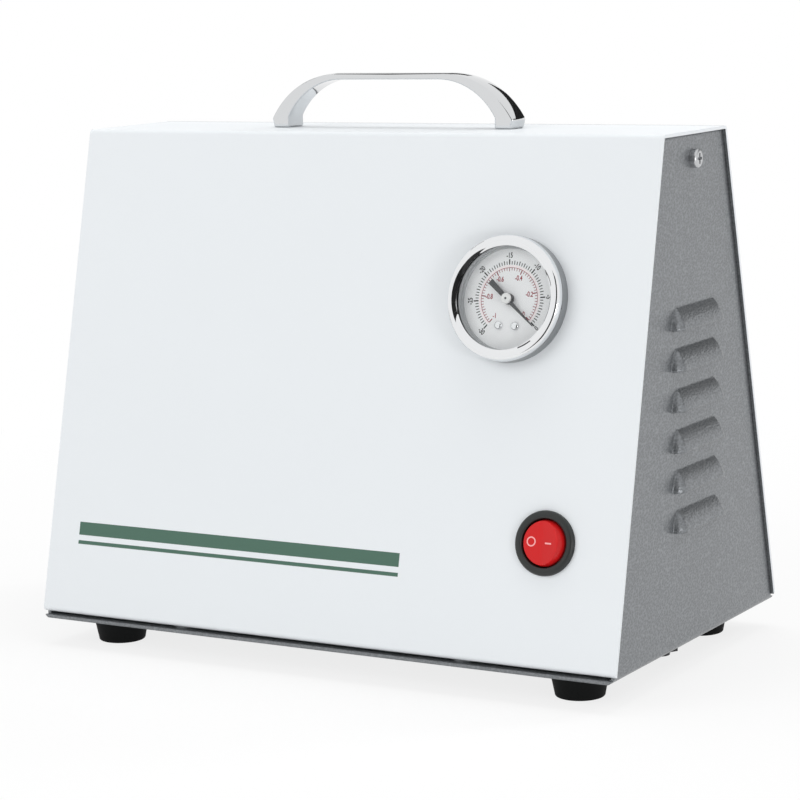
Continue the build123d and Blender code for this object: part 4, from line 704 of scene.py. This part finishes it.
def copies_recipe():
    """Copies of a pattern object at each point, turned to face along the point's own direction."""
    recipe = Recipe("Copies in place", Places="Geometry", Pattern="Object", Material="Material")
    given = recipe.inputs
    pattern = recipe.node("ObjectInfo", None, {"Object": given["Pattern"]}, output="Geometry")
    facing = recipe.node("InputNamedAttribute", {"data_type": "FLOAT_VECTOR"}, {"Name": "facing"})
    turn = recipe.node("FunctionNodeAlignRotationToVector", {"axis": "Z"}, {"Vector": facing})
    return recipe.end(recipe.node("InstanceOnPoints", None, {
        "Points": given["Places"], "Instance": pattern, "Rotation": turn}))


def cook(tree, values, base=None):
    """Plain mesh from a geometry node tree and the values of its named inputs."""
    thing = placed(tree.name, base or bpy.data.meshes.new(tree.name))
    modifier = thing.modifiers.new(tree.name, "NODES")
    modifier.node_group = tree
    for item in tree.interface.items_tree:
        if item.name in values:
            modifier[item.identifier] = values[item.name]
    mesh = applied(thing)
    thing.modifiers.clear()
    bpy.data.objects.remove(thing)
    return mesh


def set_out(pattern, places, material):
    """Copies of a pattern mesh at places, each a point and the direction that it faces."""
    spots = bpy.data.meshes.new("places")
    spots.from_pydata([point for point, _ in places], [], [])
    facing = spots.attributes.new("facing", "FLOAT_VECTOR", "POINT")
    for item, (_, direction) in zip(facing.data, places):
        item.vector = direction
    shade(pattern)
    data = stored(pattern, "pattern")
    data.materials.append(material)
    original = placed("pattern", data)
    mesh = cook(copies_recipe(), {"Pattern": original, "Material": material}, spots)
    bpy.data.objects.remove(original)
    return mesh


# ---------------------------------------------------------------- casing
class PUMP_OT_casing(bpy.types.Operator):
    """Print the stripes on the front panel"""

    bl_idname = "pump.casing"
    bl_label = "Casing"

    def execute(self, context):
        casing = context.scene.pump_casing
        low, high = 0.005 * mm, 0.02 * mm      # the ink's two faces above the panel
        heavy, light, between = 5.0 * mm, 1.4 * mm, 2.6 * mm
        left, right = casing.stripe_left, casing.stripe_left + casing.stripe_length
        material = printed_ink("stripe_ink", casing.stripe_colour)
        bars = []
        rise = casing.stripe_rise
        for middle, wide in ((rise + between / 2, heavy), (rise - between - light, light)):
            bars.append(slab(rectangle(left, right, middle - wide / 2, middle + wide / 2), low, high))
        add_piece("front_stripes", joined(*bars), FRONT, "white_paint", material=material)
        return {"FINISHED"}


# ---------------------------------------------------------------- handle
def handle_stations(handle, rise, shoulder):
    """Pairs of outer and inner points along the right half, from the crown to the foot."""
    steps = 26
    x_out = shoulder - handle.outer_bend * sin(handle.turn)
    x_in = handle.foot_inner - handle.inner_bend * sin(handle.turn)
    stations = [((0.0, rise), (0.0, rise - handle.strap))]
    for index in range(steps + 1):
        turn = handle.turn * index / steps
        out, fall = sin(turn), 1 - cos(turn)
        outer = (x_out + handle.outer_bend * out, rise - handle.outer_bend * fall)
        inner = (x_in + handle.inner_bend * out, rise - handle.strap - handle.inner_bend * fall)
        stations.append((outer, inner))
    stations.append(((handle.foot_outer, 0.0), (handle.foot_inner, 0.0)))
    return stations


def handle_mesh(handle, rise, shoulder, depth):
    """Strap handle: flat inside, crowned outside, bent at both shoulders."""
    right = handle_stations(handle, rise, shoulder)
    left = [tuple((-x, z) for x, z in pair) for pair in reversed(right[1:])]
    mesh = bmesh.new()
    rows = []
    half = 5     # steps from the middle of the crowned face to its edge
    across = [side / half for side in range(-half, half + 1)]
    for outer, inner in left + right:
        outer, inner = Vector(outer), Vector(inner)
        drop = (inner - outer).normalized() * handle.crown
        corners = [(outer + drop * side * side, side) for side in across] + [(inner, 1), (inner, -1)]
        rows.append([mesh.verts.new((point.x, side * depth / 2, point.y)) for point, side in corners])
    for row, following in zip(rows, rows[1:]):
        bridge(mesh, row, following)
    mesh.faces.new(rows[0])
    mesh.faces.new(rows[-1])
    return closed(mesh)


class PUMP_OT_handle(bpy.types.Operator):
    """Make the polished carrying handle"""

    bl_idname = "pump.handle"
    bl_label = "Handle"

    def execute(self, context):
        handle = context.scene.pump_handle
        size = HANDLE_HIGH - HANDLE_LOW
        mesh = bevelled(handle_mesh(handle, size.z, size.x / 2, size.y), handle.edge)
        place = Matrix.Translation((0, 0, HANDLE_LOW.z))
        add_piece("carrying_handle", mesh, place, "handle_chrome", replaces=["handle"])
        return {"FINISHED"}


# ---------------------------------------------------------------- gauge
RING_STEPS = 200
INK_LEVEL = 0.012 * mm                      # middle of the printed marks above the dial
BAND_LEVELS = (0.004 * mm, 0.018 * mm)      # lower and upper face of the printed bands above the dial
# The marks' base circle, whether they grow out or in, and their sets: count, length and width in mm
OUTER_MARKS = (12.3 * mm, 1, ((61, 1.2, 0.29), (31, 1.45, 0.31), (7, 1.9, 0.46)))
INNER_MARKS = (11.1 * mm, -1, ((51, 0.9, 0.22), (11, 1.2, 0.25), (6, 1.6, 0.38)))
# The numbers, the circle of their middles, their size, and whether they turn with the scale
OUTER_NUMBERS = (("0", "-5", "-10", "-15", "-20", "-25", "-30"), 15.5 * mm, 2.6 * mm, True)
INNER_NUMBERS = (("0", "-0.2", "-0.4", "-0.6", "-0.8", "-1"), 8.1 * mm, 2.55 * mm, False)
# The printed bands' middle circle and width
SCALE_BAND = (11.75 * mm, 0.7 * mm)
INNER_LINE = (11.2 * mm, 0.18 * mm)


class PUMP_OT_gauge_ring(bpy.types.Operator):
    """Turn the gauge's polished ring and its window"""

    bl_idname = "pump.gauge_ring"
    bl_label = "Gauge ring and window"

    def execute(self, context):
        gauge = context.scene.pump_gauge
        wall, clear, corner = 0.8 * mm, 0.05 * mm, 0.1 * mm
        shoulder, groove, joint = 4.2 * mm, 0.25 * mm, 0.03 * mm
        outer, inner = gauge.ring_radius, gauge.ring_radius - wall
        collar = [(inner, clear), (outer - corner, clear), (outer, clear + corner), (outer, shoulder)]
        collar += [(outer - groove, shoulder + corner), (inner, shoulder + corner)]
        satin = plated_steel("collar_satin", (0.40, 0.41, 0.42), 0.24)
        add_piece("gauge_collar", turned(collar, RING_STEPS), GAUGE, "gauge_chrome", material=satin)

        top, lip, opening = gauge.ring_proud, gauge.window_top + clear, gauge.ring_opening
        seat, crest = shoulder + corner + joint, outer - 1.7 * mm
        ring = [(inner, seat), (outer - groove, seat)]
        ring += arc_through((outer - 0.04 * mm, shoulder + 0.34 * mm), (outer - 0.45 * mm, top - 0.7 * mm),
                            (crest, top), 16)
        ring += arc_through((crest - 0.06 * mm, top), (opening + 1.25 * mm, top - 0.34 * mm),
                            (opening + 0.1 * mm, lip + 0.08 * mm), 12)
        ring += [(opening, lip + 0.02 * mm), (opening, lip), (inner, lip)]
        add_piece("gauge_ring", turned(ring, RING_STEPS), GAUGE, "gauge_chrome", replaces=["gauge_bezel"])

        chamfer = 0.2 * mm
        rim, high, low = inner - 0.2 * mm, gauge.window_top, gauge.window_top - gauge.window_thickness
        pane = [(0, low), (rim - chamfer, low), (rim, low + chamfer), (rim, high - chamfer)]
        pane += [(rim - chamfer, high), (0, high)]
        add_piece("gauge_window", turned(pane), GAUGE, "gauge_glass", replaces=["gauge_lens"])

        outside, foot, head = gauge.dial_radius - 0.02 * mm, gauge.dial_level + 0.06 * mm, low - 0.2 * mm
        step = gauge.dial_level + 1.5 * mm
        sleeve = [(outside, foot), (outside, head), (outside - 0.25 * mm, head), (outside - 0.3 * mm, step)]
        sleeve += [(outside - 0.75 * mm, step - 0.15 * mm), (outside - 0.85 * mm, foot)]
        gray = moulded_plastic("sleeve_gray", srgb(176, 178, 180), 0.3)
        add_piece("dial_sleeve", turned(sleeve), GAUGE, "dial_print", material=gray)
        return {"FINISHED"}


def number_mesh(text, size, place):
    """Printed number as a thin narrow mesh, centred on its place."""
    thickness, weight, narrow = 0.008 * mm, 0.022, 0.74
    curve = bpy.data.curves.new("number", "FONT")
    curve.body = text
    curve.size = size
    curve.align_x = curve.align_y = "CENTER"
    curve.extrude = thickness
    curve.offset = weight * size
    thing = placed("number", curve)
    mesh = opened(applied(thing))
    bpy.data.objects.remove(thing)
    bmesh.ops.remove_doubles(mesh, verts=mesh.verts, dist=WELD)
    mesh.transform(place @ Matrix.Diagonal((narrow, 1, 1, 1)))
    return mesh


def scale_numbers(gauge, values, radius, size, radial):
    """Numbers spread evenly over the scale. Radial ones turn with it, and the lowest face the other way."""
    meshes = []
    for index, value in enumerate(values):
        turn = gauge.start + gauge.sweep * index / (len(values) - 1)
        point = Vector((radius * cos(turn), radius * sin(turn), gauge.dial_level + INK_LEVEL))
        lean = turn - pi / 2 if radial else 0.0
        if radial and sin(turn) < -0.5:
            lean += pi
        meshes.append(number_mesh(value, size, Matrix.Translation(point) @ Matrix.Rotation(lean, 4, "Z")))
    return joined(*meshes)


class PUMP_OT_gauge_dial(bpy.types.Operator):
    """Make the dial with its two scales and its screws"""

    bl_idname = "pump.gauge_dial"
    bl_label = "Dial"

    def execute(self, context):
        gauge = context.scene.pump_gauge
        face, rim, bore = gauge.dial_level, gauge.dial_radius, 1.2 * mm
        edge, low = 0.12 * mm, gauge.dial_level - 0.6 * mm
        outline = [(bore, low), (rim, low), (rim, face - edge), (rim - edge, face), (bore, face)]
        add_piece("dial_plate", turned(outline), GAUGE, "dial_print", replaces=["gauge_dial"])
        outer_ink = printed_ink("outer_scale_ink", gauge.outer_colour)
        inner_ink = printed_ink("inner_scale_ink", gauge.inner_colour)
        band_ink = printed_ink("scale_band_ink", srgb(250, 240, 241))
        self.add_marks(gauge, "outer_marks", outer_ink, *OUTER_MARKS)
        self.add_marks(gauge, "inner_marks", inner_ink, *INNER_MARKS)
        for name, mesh, ink in (
                ("outer_numbers", scale_numbers(gauge, *OUTER_NUMBERS), outer_ink),
                ("inner_numbers", scale_numbers(gauge, *INNER_NUMBERS), inner_ink),
                ("scale_band", self.scale_band(gauge, *SCALE_BAND), band_ink),
                ("inner_line", self.scale_band(gauge, *INNER_LINE), inner_ink)):
            add_piece(name, mesh, GAUGE, "dial_print", material=ink)
        self.add_screws(gauge)
        return {"FINISHED"}

    def add_marks(self, gauge, name, ink, base, outward, sets):
        """Marks that grow in or out from one base circle."""
        thickness = 0.016 * mm
        recipe = marks_recipe()
        meshes = []
        for count, long, wide in sets:
            meshes.append(cook(recipe, {
                "Marks": count, "Radius": base + outward * long * mm / 2, "Length": long * mm,
                "Width": wide * mm, "Thickness": thickness, "Start": gauge.start, "Sweep": gauge.sweep,
                "Material": ink}))
        place = GAUGE @ Matrix.Translation((0, 0, gauge.dial_level + INK_LEVEL))
        add_piece(name, opened(*meshes), place, "dial_print", material=ink)

    def scale_band(self, gauge, radius, wide):
        """Printed band that follows the scale from its first mark to its last."""
        ends = (degrees(gauge.start), degrees(gauge.start + gauge.sweep))
        outline = arc((0, 0), radius + wide / 2, *ends, 160)
        outline += reversed(arc((0, 0), radius - wide / 2, *ends, 160))
        return slab(outline, *(gauge.dial_level + level for level in BAND_LEVELS))

    def add_screws(self, gauge):
        radius, rise, edge = 1.5 * mm, 1.0 * mm, 0.1 * mm
        low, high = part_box("gauge_dial_screws")
        middle = GAUGE.inverted() @ ((low + high) / 2)
        spread = (high.x - low.x) / 2 - radius
        dome = [(0, 0.0), (radius - edge / 2, 0.0), (radius, edge)]
        dome += arc_through((1.48 * mm, 0.3 * mm), (1.1 * mm, 0.78 * mm), (0.0, rise), 12)
        level = gauge.dial_level + 0.05 * mm
        material = polished("screw_chrome", (0.82, 0.83, 0.84))
        places = [((side * spread, middle.y, level), (0, 0, 1)) for side in (-1, 1)]
        add_piece("dial_screws", set_out(turned(dome, 64), places, material), GAUGE, "zinc_steel",
                  replaces=["gauge_dial_screws"], material=material)


class PUMP_OT_gauge_pointer(bpy.types.Operator):
    """Make the gauge's pointer and its hub"""

    bl_idname = "pump.gauge_pointer"
    bl_label = "Pointer"

    def execute(self, context):
        gauge = context.scene.pump_gauge
        low, high = gauge.pointer_level, gauge.pointer_level + 0.4 * mm
        tail, tip, gap = 9.2 * mm, 14.6 * mm, 0.02 * mm
        outline = [(-tail, -1.1 * mm), (-1.5 * mm, -0.85 * mm), (1.0 * mm, -0.75 * mm), (tip, -0.14 * mm)]
        outline += [(x, -y) for x, y in reversed(outline)]
        blade = bevelled(slab(outline, low, high), 0.06 * mm, 2)
        turn = GAUGE @ Matrix.Rotation(gauge.start, 4, "Z")
        add_piece("pointer_blade", blade, turn, "pointer_gray", "pointer", ["gauge_pointer"])

        bore, radius, foot = 0.9 * mm, 2.0 * mm, gauge.dial_level + 0.15 * mm
        boss = [(bore, foot), (radius, foot), (radius, low - gap), (bore, low - gap)]
        add_piece("pointer_boss", turned(boss, 72), GAUGE, "pointer_gray", "pointer")

        seat, top = high + gap, low + 1.2 * mm
        hub = [(0, seat), (1.95 * mm, seat)]
        hub += arc_through((radius, high + 0.2 * mm), (1.86 * mm, top - 0.14 * mm), (1.5 * mm, top), 8)
        hub += [(0, top)]
        white = glossy_plastic("hub_white", (0.80, 0.80, 0.79))
        add_piece("pointer_hub", turned(hub, 96), GAUGE, "pointer_gray", "pointer", material=white)

        pin = [(0, top), (0.42 * mm, top), (0.34 * mm, top + 0.08 * mm), (0, top + 0.12 * mm)]
        add_piece("pointer_pin", turned(pin, 48), GAUGE, "pointer_gray", "pointer")
        return {"FINISHED"}


# ---------------------------------------------------------------- switch
def rocker_top(switch, x):
    """Height of the level rocker's two shallow slopes at a distance from the middle."""
    slope = tan(switch.throw / 2)
    blend = 1.1 * mm
    valley = switch.rocker_rise - switch.rocker_radius * slope
    return valley + (sqrt(x * x + blend * blend) - blend) * slope


def rocker_mesh(switch):
    """Round rocker with two slopes, a rounded rim and a ball-shaped skirt about its pivot."""
    steps, top_rows, skirt_rows = 112, 14, 10
    rim, skirt_foot, ball = 0.5 * mm, -4.6 * mm, switch.ball_radius
    mesh = bmesh.new()
    columns = []
    for index in range(steps):
        turn = 2 * pi * index / steps
        edge = ball
        for _ in range(6):     # closes in on the radius where the slope meets the ball
            high = rocker_top(switch, edge * cos(turn)) - rim / 2 + ROCKER_PIVOT
            edge = sqrt(ball ** 2 - high ** 2)
        column = [((edge - rim) * row / top_rows, 0.0) for row in range(1, top_rows + 1)]
        for tip in (22, 45, 67):
            column.append((edge - rim + rim * sin(radians(tip)), rim / 2 * (cos(radians(tip)) - 1)))
        points = [(r, rocker_top(switch, r * cos(turn)) + drop) for r, drop in column]
        start = rocker_top(switch, edge * cos(turn)) - rim / 2
        for row in range(skirt_rows + 1):
            z = start + (skirt_foot - start) * row / skirt_rows
            points.append((sqrt(ball ** 2 - (z + ROCKER_PIVOT) ** 2), z))
        columns.append([mesh.verts.new((r * cos(turn), r * sin(turn), z)) for r, z in points])
    centre = mesh.verts.new((0, 0, rocker_top(switch, 0)))
    for column, following in zip(columns, columns[1:] + columns[:1]):
        mesh.faces.new((centre, column[0], following[0]))
        for row in range(1, len(column)):
            mesh.faces.new((column[row - 1], column[row], following[row], following[row - 1]))
    mesh.faces.new([column[-1] for column in columns])
    return closed(mesh)


def rocker_mark(switch, loop, hole=None):
    """Ink on the rocker: a flat loop of (x, y) points, with an inner loop for a ring, laid on the slopes."""
    mesh = bmesh.new()
    rings = []
    for edge in [loop, hole] if hole else [loop]:
        rings.append([[mesh.verts.new((x, y, rocker_top(switch, x) + level)) for x, y in edge]
                      for level in (0.004 * mm, 0.03 * mm)])
        bridge(mesh, *rings[-1])
    for outer, *inner in zip(*rings):
        if inner:
            bridge(mesh, outer, inner[0])
        else:
            mesh.faces.new(outer)
    return closed(mesh)


class PUMP_OT_switch(bpy.types.Operator):
    """Make the round rocker switch with its ring and bar marks"""

    bl_idname = "pump.switch"
    bl_label = "Switch"

    def execute(self, context):
        switch = context.scene.pump_switch
        housing = turned(self.housing_outline(switch))
        add_piece("switch_housing", housing, SWITCH, "switch_black", replaces=["switch_body"])
        tipped = SWITCH @ PIVOT @ Matrix.Rotation(-switch.throw / 2, 4, "Y") @ PIVOT.inverted()
        add_piece("rocker_cap", rocker_mesh(switch), tipped, "rocker_red", "rocker", ["switch_rocker"])
        ink = printed_ink("rocker_ink", switch.mark_colour)
        middle, radius, stroke = (-4.2 * mm, 0.2 * mm), 1.75 * mm, 0.46 * mm
        circles = [arc(middle, reach, 0, 360, 48)[:-1] for reach in (radius, radius - stroke)]
        left, right, half = 1.5 * mm, 4.4 * mm, 0.28 * mm
        bar = rectangle(left, right, -half, half)
        marks = joined(rocker_mark(switch, *circles), rocker_mark(switch, bar))
        add_piece("rocker_marks", marks, tipped, "rocker_red", "rocker", material=ink)
        return {"FINISHED"}

    def housing_outline(self, switch):
        """Crowned bezel, then the barrel behind the panel and the well for the rocker."""
        bore, proud, rim = switch.bore, switch.bezel_proud, switch.bezel_radius
        barrel, floor, back, clear = 9.9 * mm, -7.5 * mm, -19 * mm, 0.05 * mm
        outline = [(bore, floor), (bore, 1.1 * mm)]
        outline += arc_through((bore + 0.02 * mm, 1.35 * mm), (bore + 0.3 * mm, proud - 0.16 * mm),
                               (bore + 0.9 * mm, proud), 8)
        outline += arc_through((rim - 1.5 * mm, proud), (rim - 0.42 * mm, proud - 0.42 * mm),
                               (rim, 0.5 * mm), 10)
        outline += [(rim, clear), (barrel, clear), (barrel, back), (0, back), (0, floor)]
        return outline


# ---------------------------------------------------------------- feet
class PUMP_OT_feet(bpy.types.Operator):
    """Set out the four moulded feet"""

    bl_idname = "pump.feet"
    bl_label = "Feet"

    def execute(self, context):
        low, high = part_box("rubber_feet")
        reach = 9.7 * mm     # from the box's sides to each foot's middle
        top, bottom, corner = 11.0 * mm, 9.0 * mm, 0.8 * mm
        recess, deep, bore = 5.0 * mm, 5.5 * mm, 2.2 * mm
        height = high.z - low.z
        outline = [(recess, 0.0)] + arc((bottom - corner, corner), corner, -90, 4, 7)
        outline += [(top - 0.25 * mm, height - 0.8 * mm), (top, height - 0.5 * mm), (top, height)]
        outline += [(bore, height), (bore, deep), (recess, deep)]
        across, along = (low.x + reach, high.x - reach), (low.y + reach, high.y - reach)
        places = [((x, y, low.z), (0, 0, 1)) for x in across for y in along]
        mesh = set_out(turned(outline, 96), places, finish_of("black_rubber"))
        add_piece("moulded_feet", mesh, Matrix(), "black_rubber", replaces=["rubber_feet"])
        return {"FINISHED"}


class PUMP_OT_finishes(bpy.types.Operator):
    """Give every piece of the frame the finish of its slot"""

    bl_idname = "pump.finishes"
    bl_label = "Finishes of the frame"

    def execute(self, context):
        for node, thing in frame["nodes"].items():
            material = finish_of(SLOT_OF[node])
            if not thing.material_slots:
                thing.data.materials.append(material)
            for slot in thing.material_slots:
                slot.material = material
        return {"FINISHED"}


# ---------------------------------------------------------------- studio
CAMERA_AT = (0.521055, -0.886720, 0.255567)
CAMERA_YAW, CAMERA_PITCH, CAMERA_ROLL = 30.51658, 9.04488, -1.49003     # left, down and over, in degrees


def camera_place():
    """Where the camera stands, turned to the left, tipped down and rolled a little."""
    yaw, pitch, roll = radians(CAMERA_YAW), radians(CAMERA_PITCH), radians(CAMERA_ROLL)
    look = Vector((-sin(yaw) * cos(pitch), cos(yaw) * cos(pitch), -sin(pitch)))
    level = Vector((cos(yaw), sin(yaw), 0))
    over = level.cross(look)
    right = level * cos(roll) + over * sin(roll)
    up = over * cos(roll) - level * sin(roll)
    return Matrix.Translation(CAMERA_AT) @ Matrix((right, up, -look)).transposed().to_4x4()


def seen_directly(tree):
    """1 on a ray from the camera, a mirror or a window, and 0 on a ray that carries light."""
    camera, glossy, through = (tree.node("LightPath", output=f"Is {kind} Ray")
                               for kind in ("Camera", "Glossy", "Transmission"))
    return (camera + glossy + through).least(1.0)


def pale_world(level):
    """Even room light; the camera, metal and glass see it as white."""
    world = bpy.data.worlds.new("studio")
    world.use_nodes = True
    tree = Tree(world.node_tree)
    tree.tree.nodes.clear()
    strength = level + seen_directly(tree) * (1 - level)
    light = tree.node("Background", None, {"Color": (1, 1, 1, 1), "Strength": strength})
    tree.node("OutputWorld", None, {"Surface": light})
    bpy.context.scene.world = world


def pale_floor(tint):
    """Paper that keeps soft shadows and shows nearly white."""
    finish = Finish("studio_paper")
    grain = finish.noise(30 * mm, detail=2.0)
    paper = finish.node("BsdfDiffuse", None, {"Color": finish.mix(grain, tint, times(tint, 0.99))})
    glow = finish.node("Emission", None, {"Color": (1, 1, 1, 1), "Strength": 1.0})
    away = finish.node("VectorMath", {"operation": "LENGTH"}, {0: finish.place}, output="Value")
    white = seen_directly(finish) * away.ramp(0.16, 0.55, 0.8, 1.0)     # shadows fade out by 0.55 m
    return finish.done(finish.blend(white, paper, glow))


# Each lamp's name, size, place and aim in metres, and whether polished pieces mirror it
LAMPS = (
    ("key", (1.2, 0.9), (-0.75, -1.35, 1.0), (0, 0, 0.1), False),
    ("top", (1.0, 0.8), (0.0, 0.15, 1.35), (0, 0, 0.15), False),
    ("side", (0.25, 0.5), (0.75, 0.75, 0.85), (0.12, 0, 0.1), False),
    ("edge", (0.26, 0.24), (1.0, -0.56, 0.13), (0.12, 0, 0.09), True),
)


def add_lamp(name, power, size, place, aim, mirrored):
    """Soft rectangular lamp."""
    lamp = bpy.data.lights.new(name, "AREA")
    lamp.shape = "RECTANGLE"
    lamp.size, lamp.size_y = size
    lamp.energy = power
    thing = placed(name, lamp)
    thing.location = place
    thing.rotation_euler = (Vector(aim) - Vector(place)).to_track_quat("-Z", "Y").to_euler()
    thing.visible_glossy = mirrored


# Each dark card's name, direction from the pump in degrees, width, and the heights of its edges in metres
CARDS = (
    ("front_card", -67, 0.75, 0.0, 1.25),
    ("back_card", 70, 2.0, 0.49, 1.05),
    ("crown_card", 122, 0.50, 0.64, 0.88),
    ("left_low_card", -168, 0.12, 0.0, 0.13),
    ("left_high_card", -171, 0.30, 1.15, 1.6),
)
CARD_DISTANCE = 1.5
APRON_NEAR, APRON_HALF, APRON_LEVEL = 0.3, 0.25, 1 * mm     # where a card's apron ends on the floor


def add_dark_card(name, turn, wide, low, high):
    """Black card that only polished metal mirrors. One that stands on the floor has an apron in front."""
    middle = Vector((cos(turn), sin(turn), 0)) * CARD_DISTANCE
    across = Vector((-sin(turn), cos(turn), 0)) * wide / 2
    corners = [middle + across * side + Vector((0, 0, level))
               for side, level in rectangle(-1, 1, low, high)]
    faces = [(0, 1, 2, 3)]
    if low == 0.0:
        near = middle.normalized() * APRON_NEAR
        corners += [near + across * side * APRON_HALF + Vector((0, 0, APRON_LEVEL)) for side in (-1, 1)]
        faces.append((0, 1, 5, 4))
    data = bpy.data.meshes.new(name)
    data.from_pydata(corners, [], faces)
    finish = Finish(name + "_black")
    data.materials.append(finish.done(finish.principled(base_color=(0.01, 0.01, 0.01), roughness=0.9)))
    card = placed(name, data)
    for kind in ("camera", "diffuse", "shadow", "transmission"):
        setattr(card, "visible_" + kind, False)


class PUMP_OT_stage(bpy.types.Operator):
    """Set up the floor, the lamps, the room light and the camera"""

    bl_idname = "pump.stage"
    bl_label = "Studio"

    def execute(self, context):
        studio = context.scene.pump_studio
        pale_world(studio.world_level)
        half = 3.0     # of the floor's width
        data = bpy.data.meshes.new("floor")
        corners = [(x, y, 0) for x, y in rectangle(-half, half, -half, half)]
        data.from_pydata(corners, [], [(0, 1, 2, 3)])
        data.materials.append(pale_floor(tuple(studio.floor_colour)))
        placed("floor", data)
        for name, size, place, aim, mirrored in LAMPS:
            add_lamp(name, getattr(studio, name + "_power"), size, place, aim, mirrored)
        for name, turn, wide, low, high in CARDS:
            add_dark_card(name, radians(turn), wide, low, high)
        lens = bpy.data.cameras.new("camera")
        lens.lens = studio.lens
        camera = placed("camera", lens)
        camera.matrix_world = camera_place()
        context.scene.camera = camera
        context.scene.view_settings.view_transform = "Standard"
        return {"FINISHED"}


OPERATORS = [
    PUMP_OT_casing,
    PUMP_OT_handle,
    PUMP_OT_gauge_ring,
    PUMP_OT_gauge_dial,
    PUMP_OT_gauge_pointer,
    PUMP_OT_switch,
    PUMP_OT_feet,
    PUMP_OT_finishes,
    PUMP_OT_stage,
]


class PUMP_PT_panel(bpy.types.Panel):
    """Sizes, colours and steps of the vacuum pump"""

    bl_idname = "PUMP_PT_panel"
    bl_label = "Vacuum Pump"
    bl_space_type = "VIEW_3D"
    bl_region_type = "UI"
    bl_category = "Vacuum Pump"

    def draw(self, context):
        layout = self.layout
        for operator in OPERATORS:
            layout.operator(operator.bl_idname)
        for name, kind in SETTINGS.items():
            box = layout.box()
            box.label(text=kind.__name__.replace("Settings", ""))
            for key in kind.__annotations__:
                box.prop(getattr(context.scene, name), key)


def register():
    for kind in [*SETTINGS.values(), *OPERATORS, PUMP_PT_panel]:
        bpy.utils.register_class(kind)
    for name, kind in SETTINGS.items():
        setattr(bpy.types.Scene, name, PointerProperty(type=kind))


def unregister():
    for name in SETTINGS:
        delattr(bpy.types.Scene, name)
    for kind in reversed([*SETTINGS.values(), *OPERATORS, PUMP_PT_panel]):
        bpy.utils.unregister_class(kind)


def main():
    register()
    for operator in OPERATORS:
        group, step = operator.bl_idname.split(".")
        getattr(getattr(bpy.ops, group), step)()


if __name__ == "__main__":
    main()
